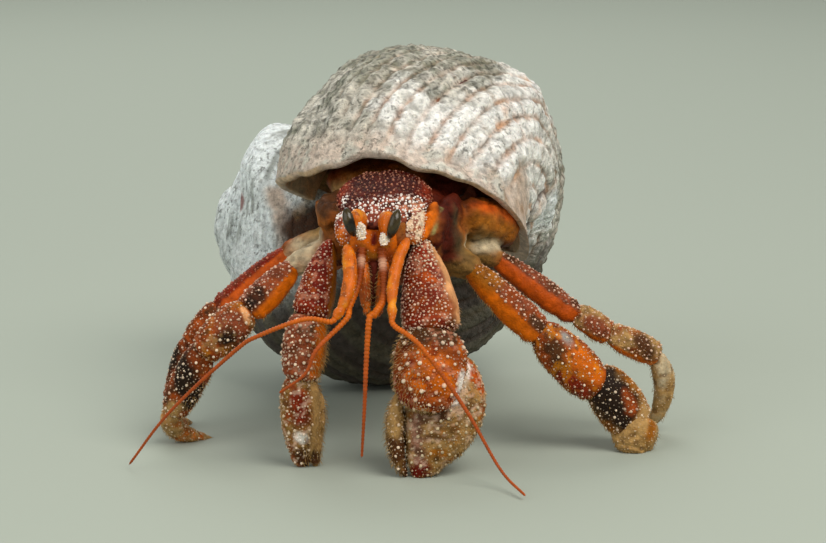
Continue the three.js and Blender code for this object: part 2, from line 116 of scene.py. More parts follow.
# Each feeler: the points its middle passes through, and its radius at the root and the tip.
FEELERS = {
    "antenna_r_whip": (((-9.7, -13.2, -3.1), (-10.4, -14.1, -3.7), (-13.7, -14.6, -3.3), (-19.3, -14.4, -5.4),
                        (-22.5, -13.6, -7.6), (-31.1, -10.4, -16.3), (-36.7, -7.5, -24.0)), (0.36, 0.16)),
    "antenna_l_whip": (((-2.7, -12.8, -3.3), (-2.3, -13.9, -4.3), (1.0, -15.6, -6.6), (6.6, -15.8, -14.6),
                        (11.0, -17.4, -22.0), (14.0, -22.8, -24.0)), (0.36, 0.16)),
    "antennule_r_stalk": (((-6.5, -6.9, 4.2), (-6.9, -9.9, 0.6), (-8.2, -12.6, -2.6)), (0.58, 0.4)),
    "antennule_r_lash": (((-8.1, -12.5, -2.6), (-8.5, -13.6, -3.6), (-12.1, -15.0, -7.1), (-13.6, -15.2, -10.2),
                          (-16.9, -14.6, -12.8)), (0.4, 0.16)),
    "antennule_l_stalk": (((-4.0, -6.9, 4.2), (-3.7, -10.4, -1.0), (-4.9, -13.4, -3.0)), (0.58, 0.43)),
    "antennule_l_lash": (((-4.9, -13.3, -3.0), (-5.5, -14.2, -3.4), (-5.9, -14.8, -9.0), (-6.1, -15.0, -14.0),
                          (-6.5, -14.2, -21.3)), (0.43, 0.16)),
}
CLAWS = {
    "claw_l": dict(
        base=dict(a=(2.2, 3.6, 1.2), b=(1.2, -1.2, 3.8), half=((1.9, 1.9), (1.8, 1.8), (1.5, 1.6))),
        merus=dict(a=(1.1, -2.4, 4.7), b=(2.6, -8.4, -6.6), half=((1.3, 1.5), (3.2, 2.5), (4.2, 2.9))),
        carpus=dict(a=(2.8, -8.8, -5.6), b=(1.3, -12.0, -15.9), half=((3.9, 2.8), (4.7, 3.4), (3.2, 2.8))),
        palm=dict(a=(6.6, -7.6, -9.4), via=(3.9, -9.2, -16.8), b=(0.4, -11.2, -25.0),
                  half=((2.6, 2.2), (5.0, 3.2), (1.7, 1.5)), blunt=2.7),
        dactyl=dict(a=(-1.9, -10.2, -13.8), via=(-2.2, -10.6, -20.4), b=(-0.8, -11.1, -24.6),
                    half=((0.9, 1.6), (1.2, 1.9), (0.35, 0.6)))),
    "claw_r": dict(
        base=dict(a=(-9.4, 3.6, 1.2), b=(-10.2, -0.8, 3.6), half=((1.6, 1.6), (1.4, 1.5), (1.1, 1.2))),
        merus=dict(a=(-10.7, -1.8, 4.5), b=(-13.2, -6.4, -4.9), half=((0.9, 1.1), (2.2, 2.0), (2.9, 2.3))),
        carpus=dict(a=(-13.4, -6.6, -4.3), b=(-14.4, -7.8, -12.8), half=((2.6, 2.2), (2.9, 2.6), (2.5, 2.2))),
        palm=dict(a=(-14.5, -7.6, -12.0), b=(-14.4, -5.4, -24.9), half=((2.3, 2.0), (2.6, 2.3), (1.0, 1.1))),
        dactyl=dict(a=(-12.1, -6.6, -14.6), b=(-12.7, -5.4, -24.9),
                    half=((0.8, 1.2), (0.95, 1.4), (0.5, 0.7)))),
}
LEGS = {
    "leg1_r": dict(
        face=(-0.5, -0.7, 0.5),
        base=dict(a=(-9.0, 5.0, 0.6), b=(-15.6, 4.2, 0.2), half=((1.5, 1.5), (1.5, 1.6), (1.3, 1.5))),
        merus=dict(a=(-15.6, 4.2, 0.2), b=(-21.8, 1.0, -5.6), half=((1.6, 1.3), (2.4, 1.7), (2.6, 1.8))),
        carpus=dict(a=(-21.5, 1.0, -5.0), b=(-27.9, 0.4, -11.0), half=((2.3, 1.8), (2.9, 2.2), (2.4, 2.0))),
        propodus=dict(a=(-27.3, 0.6, -10.2), b=(-32.0, 4.0, -19.9), half=((2.2, 1.8), (2.6, 2.1), (2.0, 1.7))),
        dactyl=dict(a=(-31.9, 4.0, -19.2), via=(-31.4, 6.4, -22.7), b=(-27.0, 9.6, -24.8),
                    half=((1.7, 1.5), (1.5, 1.3), (0.6, 0.5)), face=(-0.8, -0.3, -0.5))),
    "leg2_r": dict(
        face=(-0.6, -0.4, 0.6),
        base=dict(a=(-8.6, 10.0, 1.2), b=(-16.0, 9.8, 1.4), half=((1.5, 1.5), (1.5, 1.6), (1.3, 1.5))),
        merus=dict(a=(-16.2, 9.6, 1.2), b=(-26.0, 8.0, -6.8), half=((1.5, 1.2), (2.1, 1.5), (2.2, 1.6))),
        carpus=dict(a=(-25.6, 8.0, -6.2), b=(-29.8, 8.2, -11.6), half=((1.9, 1.5), (2.2, 1.7), (2.0, 1.6))),
        propodus=dict(a=(-29.6, 8.2, -10.8), b=(-32.4, 11.0, -19.9), half=((1.8, 1.5), (2.1, 1.7), (1.7, 1.4))),
        dactyl=dict(a=(-32.3, 11.2, -19.2), via=(-32.4, 13.8, -22.8), b=(-30.3, 18.0, -24.8),
                    half=((1.4, 1.2), (1.3, 1.1), (0.6, 0.5)), face=(-0.9, -0.3, -0.3))),
    "leg1_l": dict(
        face=(0.4, -0.7, 0.6),
        base=dict(a=(2.4, 5.0, 0.4), b=(7.4, 3.4, 0.0), half=((1.5, 1.6), (1.7, 1.8), (1.3, 1.5))),
        merus=dict(a=(7.0, 3.2, 0.4), b=(17.0, 1.4, -8.8), half=((1.3, 1.4), (2.3, 1.8), (2.6, 1.9))),
        carpus=dict(a=(16.4, 1.6, -7.9), b=(24.8, 2.4, -16.3), half=((2.4, 2.0), (3.4, 2.4), (2.8, 2.2))),
        propodus=dict(a=(24.2, 2.8, -14.2), b=(30.0, 3.6, -21.6), half=((2.8, 2.2), (3.8, 2.6), (3.5, 2.3))),
        dactyl=dict(a=(29.9, 3.2, -20.0), b=(28.7, 1.6, -25.0), half=((3.1, 2.2), (3.2, 2.2), (2.0, 1.4)))),
    "leg2_l": dict(
        face=(0.5, -0.5, 0.7),
        base=dict(a=(2.8, 10.0, 1.2), b=(10.6, 10.0, 0.4), half=((1.5, 1.5), (1.5, 1.6), (1.3, 1.4))),
        merus=dict(a=(10.4, 10.0, 0.4), b=(22.0, 9.0, -7.9), half=((1.3, 1.3), (2.1, 1.6), (2.1, 1.6))),
        carpus=dict(a=(21.6, 9.0, -7.3), b=(26.4, 9.0, -10.3), half=((1.8, 1.5), (2.1, 1.7), (1.9, 1.5))),
        propodus=dict(a=(25.9, 9.0, -9.9), b=(33.0, 10.0, -13.3), half=((1.7, 1.5), (2.1, 1.8), (2.0, 1.7))),
        dactyl=dict(a=(32.4, 10.2, -13.2), via=(33.8, 11.6, -18.9), b=(31.2, 13.2, -25.15),
                    half=((1.6, 1.4), (1.5, 1.3), (0.6, 0.5)), face=(0.9, -0.3, -0.2))),
}
LEG_KEEL = 0.06  # how far the lengths of the legs are drawn in to three edges
HOOK_HALF = ((1.3, 1.2), (1.2, 1.1), (0.8, 0.8))
HOOKS = {
    "hook_leg_r": dict(a=(-9.2, 13.6, 3.6), via=(-11.6, 12.4, 5.4), b=(-12.6, 11.2, 7.6), half=HOOK_HALF,
                       face=FRONT),
    "hook_leg_l": dict(a=(3.6, 13.6, 3.6), via=(6.6, 12.4, 4.8), b=(8.8, 11.4, 6.4), half=HOOK_HALF,
                       face=FRONT),
}
ABDOMEN = (-0.64, -0.04, 0.55)  # first turn, last turn, share of the shell's tube


# ---------- small helpers ----------

def place(points):
    """Working millimetres to metres in the model's frame."""
    return (np.asarray(points, float) - ORIGIN) * MM


def unit(v):
    """Vectors of length one."""
    v = np.asarray(v, float)
    return v / np.maximum(np.linalg.norm(v, axis=-1, keepdims=True), 1e-12)


def ease(low, high, x):
    """A smooth step from 0 at low to 1 at high."""
    t = np.clip((x - low) / (high - low), 0, 1)
    return t * t * (3 - 2 * t)


def tone(text):
    """A colour written as rrggbb, in linear light."""
    c = np.array([int(text[i:i + 2], 16) for i in (0, 2, 4)]) / 255
    return np.where(c <= 0.04045, c / 12.92, ((c + 0.055) / 1.055) ** 2.4)


HASH = (73856093, 19349663, 83492791, 2654435761)


def scrambled(n):
    """Mixes the bits of whole numbers, for random fields that are the same in each run."""
    return ((n ^ (n >> 13)) * 1274126177) & 0x7FFFFFFF


def noise(points, size, seed=0):
    """A smooth random field between -1 and 1, with features about `size` wide."""
    q = np.asarray(points, float) / size + 11.7 * (seed + 1)
    cell = np.floor(q).astype(np.int64)
    f = q - cell
    f = f * f * (3 - 2 * f)
    total = np.zeros(q.shape[:-1])
    for corner in range(8):
        step = np.array([corner & 1, corner >> 1 & 1, corner >> 2 & 1])
        h = cell + step
        n = scrambled((h[..., 0] * HASH[0]) ^ (h[..., 1] * HASH[1]) ^ (h[..., 2] * HASH[2]) ^ (seed * HASH[3]))
        value = ((n ^ (n >> 11)) & 0xFFFF) / 32767.5 - 1
        total += value * np.prod(np.where(step, f, 1 - f), axis=-1)
    return total


def rough(points, size, seed=0, octaves=3):
    """Noise of several sizes, each half the one before."""
    return sum(noise(points, size / 2 ** k, seed + 7 * k) / 2 ** k for k in range(octaves))


def mix(a, b, weight):
    """Blends two colours."""
    return a + (b - a) * np.asarray(weight)[..., None]


def around_degrees(angle):
    """An angle in degrees between -180 and 180."""
    return np.degrees(np.arctan2(np.sin(angle), np.cos(angle)))


# ---------- meshes ----------

MAP_MARGIN = 0.04  # of a column of the flat map, at each side
MAP_WIDTH = 1 - 2 * MAP_MARGIN
LEAST_HEIGHT = 0.00001  # metres; nothing dips under the ground


class Build:
    """Collects vertices, faces and per-vertex values of one piece."""

    def __init__(self):
        self.points, self.quads, self.tris = [], [], []
        self.values = {"Tint": [], "Wear": []}
        self.maps = []
        self.count = 0
        self.period = MAP_WIDTH  # how far apart on the map the two sides of a seam lie

    def add(self, points, quads=None, tris=None, tint=(1, 1, 1), wear=0.0, chart=None):
        """Adds points with their faces, tint, wear and places on the flat map."""
        n = len(points)
        self.points.append(np.asarray(points, float))
        if quads is not None and len(quads):
            self.quads.append(np.asarray(quads) + self.count)
        if tris is not None and len(tris):
            self.tris.append(np.asarray(tris) + self.count)
        tint = np.asarray(tint, float)
        if tint.shape[-1] == 3:
            tint = np.concatenate([tint, np.ones(tint.shape[:-1] + (1,))], -1)
        self.values["Tint"].append(np.broadcast_to(tint, (n, 4)))
        self.values["Wear"].append(np.broadcast_to(np.asarray(wear, float), (n,)))
        if chart is not None:
            self.maps.append(np.asarray(chart, float))
        self.count += n

    def finish(self, name, material, slot, replaces=()):
        """Makes the piece, with its tints, its wear and its map for baking."""
        points = place(np.concatenate(self.points))
        points[:, 2] = np.maximum(points[:, 2], LEAST_HEIGHT)
        quads = np.concatenate(self.quads) if self.quads else np.zeros((0, 4), int)
        tris = np.concatenate(self.tris) if self.tris else np.zeros((0, 3), int)
        mesh = bpy.data.meshes.new(name)
        mesh.vertices.add(len(points))
        mesh.vertices.foreach_set("co", points.astype(np.float32).ravel())
        loops = np.concatenate([quads.ravel(), tris.ravel()]).astype(np.int32)
        totals = np.concatenate([np.full(len(quads), 4), np.full(len(tris), 3)]).astype(np.int32)
        mesh.loops.add(len(loops))
        mesh.loops.foreach_set("vertex_index", loops)
        mesh.polygons.add(len(totals))
        starts = np.concatenate([[0], np.cumsum(totals)[:-1]]).astype(np.int32)
        mesh.polygons.foreach_set("loop_start", starts)
        mesh.polygons.foreach_set("loop_total", totals)
        mesh.polygons.foreach_set("use_smooth", np.ones(len(totals), bool))
        mesh.update(calc_edges=True)
        tint = np.concatenate(self.values["Tint"])
        colour = mesh.color_attributes.new("Tint", "FLOAT_COLOR", "POINT")
        colour.data.foreach_set("color", tint.astype(np.float32).ravel())
        wear = mesh.attributes.new("Wear", "FLOAT", "POINT")
        wear.data.foreach_set("value", np.concatenate(self.values["Wear"]).astype(np.float32))
        if self.maps:
            spots = np.concatenate(self.maps)[loops]
            low, high = np.minimum.reduceat(spots[:, 0], starts), np.maximum.reduceat(spots[:, 0], starts)
            middle = np.repeat(np.where(high - low > self.period / 2, (low + high) / 2, -1), totals)
            spots[:, 0] += self.period * (spots[:, 0] < middle)
            uv = mesh.uv_layers.new(name="OFBake")
            uv.data.foreach_set("uv", spots.astype(np.float32).ravel())
        mesh.validate()
        piece = bpy.data.objects.new(name, mesh)
        bpy.context.scene.collection.objects.link(piece)
        mesh.materials.append(material)
        return settle(piece, replaces)


def settle(piece, replaces=()):
    """Puts a piece on the one body and the nodes it stands for."""
    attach(piece, "root")
    if replaces:
        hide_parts(*replaces)
    return piece


def tube_faces(rows, around):
    """Quads of a grid that closes round its second axis, turned outwards."""
    i, j = np.meshgrid(np.arange(rows - 1), np.arange(around), indexing="ij")
    k = (j + 1) % around
    here, after = i * around, (i + 1) * around
    return np.stack([here + j, here + k, after + k, after + j], -1).reshape(-1, 4)


def grid_normals(points, middle):
    """Normals of a grid that closes round its second axis, turned away from its middle."""
    along = np.gradient(points, axis=0)
    around = np.roll(points, -1, axis=1) - np.roll(points, 1, axis=1)
    normals = unit(np.cross(around, along))
    return -normals if np.sum(normals * (points - middle)) < 0 else normals


POLE = 0.02  # how near to a pole the first row of a length's grid lies, in radians


class Limb:
    """A round-ended length between two joints, as in the solids."""

    def __init__(self, a, b, half, face=UP, via=None, blunt=4, keel=0.0, grow=0.0):
        self.a, self.b = np.array(a, float), np.array(b, float)
        middle = (self.a + self.b) / 2
        self.bend = middle if via is None else 2 * np.array(via, float) - middle
        self.half, self.face = np.array(half, float), np.array(face, float)
        self.blunt, self.keel, self.grow = blunt, keel, grow

    def spine(self, t):
        """Point, direction, side and outward direction at a share of the length."""
        t = np.asarray(t, float)[..., None]
        point = self.a * (1 - t) ** 2 + 2 * self.bend * t * (1 - t) + self.b * t ** 2
        ahead = unit((self.bend - self.a) * (1 - t) + (self.b - self.bend) * t)
        side = unit(np.cross(self.face, ahead))
        return point, ahead, side, np.cross(ahead, side)

    def at(self, roll, turn):
        """Points and share along, for the roll from pole to pole (0 to pi) and the turn round the spine."""
        along = -np.cos(roll)
        t = (1 + along) / 2
        full = np.maximum(0, 1 - np.abs(along) ** self.blunt) ** (1 / self.blunt)
        first, mid, last = self.half
        s = t[..., None]
        size = first * (1 - s) * (1 - 2 * s) + 4 * mid * s * (1 - s) + last * s * (2 * s - 1) + self.grow
        point, ahead, side, out = self.spine(t)
        drawn = (full * (1 - self.keel * np.sin(3 * turn)))[..., None]
        point = point + ahead * (along * self.grow)[..., None]
        return (point + side * drawn * size[..., :1] * np.cos(turn)[..., None]
                + out * drawn * size[..., 1:] * np.sin(turn)[..., None]), t

    def skin(self, rows, around, relief=None):
        """Grid of points, normals, share along and turn round. The poles are whole rows."""
        roll = np.linspace(POLE, math.pi - POLE, rows)
        turn = np.linspace(0, 2 * math.pi, around, endpoint=False)
        roll, turn = np.meshgrid(roll, turn, indexing="ij")
        points, t = self.at(roll, turn)
        normals = grid_normals(points, self.spine(t)[0])
        if relief is not None:
            points = points + normals * relief(points, normals, t, turn)[..., None]
        return points, normals, t, turn


def closed_grid(build, points, tint, wear, chart=None):
    """Adds a grid closed round its second axis, with a cap at each end."""
    rows, around = points.shape[:2]
    flat = points.reshape(-1, 3)
    ends = np.stack([points[0].mean(0), points[-1].mean(0)])
    quads = tube_faces(rows, around)
    j = np.arange(around)
    k = (j + 1) % around
    n = rows * around
    tris = np.concatenate([
        np.stack([np.full(around, n), k, j], -1),
        np.stack([np.full(around, n + 1), n - around + j, n - around + k], -1)])
    full = np.concatenate([flat, ends])
    volume = np.einsum("ij,ij->i", full[quads[:, 0]] - ends[0], np.cross(
        full[quads[:, 1]] - ends[0], full[quads[:, 2]] - ends[0])).sum()
    if volume < 0:
        quads, tris = quads[:, ::-1], tris[:, ::-1]
    pick = [0, n - around]
    tint, wear = tint.reshape(n, -1), wear.ravel()
    if chart is not None:
        chart = chart.reshape(n, 2)
        chart = np.concatenate([chart, chart[pick]])
    build.add(full, quads, tris, np.concatenate([tint, tint[pick]]), np.concatenate([wear, wear[pick]]), chart)


def chart_of(t, turn, column=0, columns=1):
    """Where a point of a length lies on the flat map: one column of the map for each length."""
    across = (column + MAP_MARGIN + MAP_WIDTH * turn / (2 * math.pi)) / columns
    return np.stack([across, 0.02 + 0.96 * t], -1)


# ---------- granules and bristles ----------

def spread(points, gap):
    """Which points to keep so that none lies nearer than gap to one kept before it."""
    table, kept, limit = {}, [], gap ** 2
    keys = np.floor(points / gap).astype(int)
    near = [(i, j, k) for i in (-1, 0, 1) for j in (-1, 0, 1) for k in (-1, 0, 1)]
    for index, (point, key) in enumerate(zip(points.tolist(), keys.tolist())):
        if not any((x - point[0]) ** 2 + (y - point[1]) ** 2 + (z - point[2]) ** 2 < limit for i, j, k in near
                   for x, y, z in table.get((key[0] + i, key[1] + j, key[2] + k), ())):
            table.setdefault(tuple(key), []).append(point)
            kept.append(index)
    return np.array(kept, int)


CROWD = 7.0  # tries for each square of the spacing


def scatter(grid, spacing, chance, rng):
    """Random places on a grid of skin, at least `spacing` apart and thinned by `chance`."""
    points, normals, t, turn = grid
    around = t.shape[1]
    next_turn = np.roll(points, -1, axis=1)
    area = np.linalg.norm(np.cross(next_turn[:-1] - points[:-1], points[1:] - points[:-1]), axis=-1)
    total = area.sum()
    wanted = int(CROWD * total / spacing ** 2)
    cell = np.searchsorted(np.cumsum(area.ravel()) / total, rng.random(wanted))
    i, j = np.divmod(np.minimum(cell, area.size - 1), around)
    u, v = rng.random(wanted), rng.random(wanted)
    k = (j + 1) % around

    def blend(field):
        across, along = (u[:, None], v[:, None]) if field.ndim == 3 else (u, v)
        near = field[i, j] * (1 - across) + field[i, k] * across
        far = field[i + 1, j] * (1 - across) + field[i + 1, k] * across
        return near * (1 - along) + far * along

    root, normal, share = blend(points), unit(blend(normals)), blend(t)
    turned = turn[i, j] + u * (turn[0, 1] - turn[0, 0])
    ahead = unit(blend(np.gradient(points, axis=0)))
    kept = np.nonzero(rng.random(wanted) < chance(root, normal, share))[0]
    kept = kept[spread(root[kept], spacing)]
    return root[kept], normal[kept], ahead[kept], share[kept], turned[kept]


DOME = ((1.0, -0.25), (0.98, 0.2), (0.8, 0.62), (0.42, 0.92))  # radius and height of each ring
MAP_DOT = 0.0015  # half the width of a granule or bristle on the flat map
LEAN = 0.35  # how far a granule leans towards the tip of its limb, in heights


def joined(build, points, quads, tris, tint, chart):
    """Adds one copy of the faces for each row of points, with one tint for each copy."""
    n, per = points.shape[:2]
    shift = (np.arange(n) * per)[:, None, None]
    build.add(points.reshape(-1, 3), (quads[None] + shift).reshape(-1, 4), (tris[None] + shift).reshape(-1, 3),
              np.repeat(np.broadcast_to(tint, (n, 3)), per, axis=0), 0.0, chart.reshape(-1, 2))


def domes(build, spots, radius, height, tint, columns, sides):
    """Adds one rounded granule at each spot, leaning towards the tip of the limb."""
    root, normal, ahead, t, turn = spots
    n = len(root)
    if not n:
        return
    ahead = unit(ahead - normal * np.sum(ahead * normal, axis=1)[:, None])
    across = np.cross(normal, ahead)
    angle = np.linspace(0, 2 * math.pi, sides, endpoint=False)
    rings = []
    for wide, high in DOME:
        flat = ahead[:, None] * np.cos(angle)[None, :, None] + across[:, None] * np.sin(angle)[None, :, None]
        up = normal * (height * high)[:, None] + ahead * (LEAN * height * max(high, 0) ** 2)[:, None]
        rings.append(root[:, None] + flat * (radius * wide)[:, None, None] + up[:, None])
    tip = root + normal * (height * 1.02)[:, None] + ahead * (LEAN * height)[:, None]
    points = np.concatenate([np.stack(rings, 1).reshape(n, -1, 3), tip[:, None]], 1)
    per = points.shape[1]
    quads = tube_faces(len(DOME), sides)
    last = (len(DOME) - 1) * sides
    j = np.arange(sides)
    tris = np.stack([np.full(sides, per - 1), last + j, last + (j + 1) % sides], -1)
    fan = np.concatenate([np.tile(np.stack([np.cos(angle), np.sin(angle)], -1), (len(DOME), 1)), [[0, 0]]])
    joined(build, points, quads, tris, tint, chart_of(t, turn, *columns)[:, None] + fan[None] * MAP_DOT)


def bristles(build, spots, length, width, tint, columns, rng, lie=0.8):
    """Adds one thin tapering hair at each spot, lying towards the tip of the limb."""
    root, normal, ahead, t, turn = spots
    n = len(root)
    if not n:
        return
    jitter = rng.normal(0, 0.28, (n, 3))
    way = unit(normal + ahead * lie + jitter)
    late = unit(way + ahead * 0.7)
    across = unit(np.cross(way, normal + 0.31))
    third = np.cross(way, across)
    angle = np.array([0, 2.1, 4.2])
    spokes = across[:, None] * np.cos(angle)[None, :, None] + third[:, None] * np.sin(angle)[None, :, None]
    middle = root + way * (length * 0.5)[:, None]
    end = middle + late * (length * 0.5)[:, None]
    base = root[:, None] - normal[:, None] * 0.05 + spokes * (width * 0.5)[:, None, None]
    mid = middle[:, None] + spokes * (width * 0.36)[:, None, None]
    points = np.concatenate([base, mid, end[:, None]], 1)
    quads = np.array([[0, 1, 4, 3], [1, 2, 5, 4], [2, 0, 3, 5]])
    tris = np.array([[3, 4, 6], [4, 5, 6], [5, 3, 6]])
    fan = np.array([[0, 0], [1, 0], [0.5, 1], [0.2, 0.2], [0.8, 0.2], [0.5, 0.8], [0.5, 0.5]])
    fan = fan * (2 * MAP_DOT) - MAP_DOT
    joined(build, points, quads, tris, tint, chart_of(t, turn, *columns)[:, None] + fan[None])


# ---------- plates of the limbs and head ----------

def marked(points, tint, marks, palette, seed):
    """Lays soft-edged marks over a ground."""
    for number, (a, b, radius, colour, soft) in enumerate(marks):
        a, b = np.array(a, float), np.array(b, float)
        line = b - a
        s = np.clip(((points - a) @ line) / max(line @ line, 1e-9), 0, 1)
        away = np.linalg.norm(points - (a + s[..., None] * line), axis=-1) / radius
        away = away + 0.25 * rough(points, 1.2, seed + number, 2)
        tint = mix(tint, palette[colour], 1 - ease(1 - soft, 1 + soft, away))
    return tint


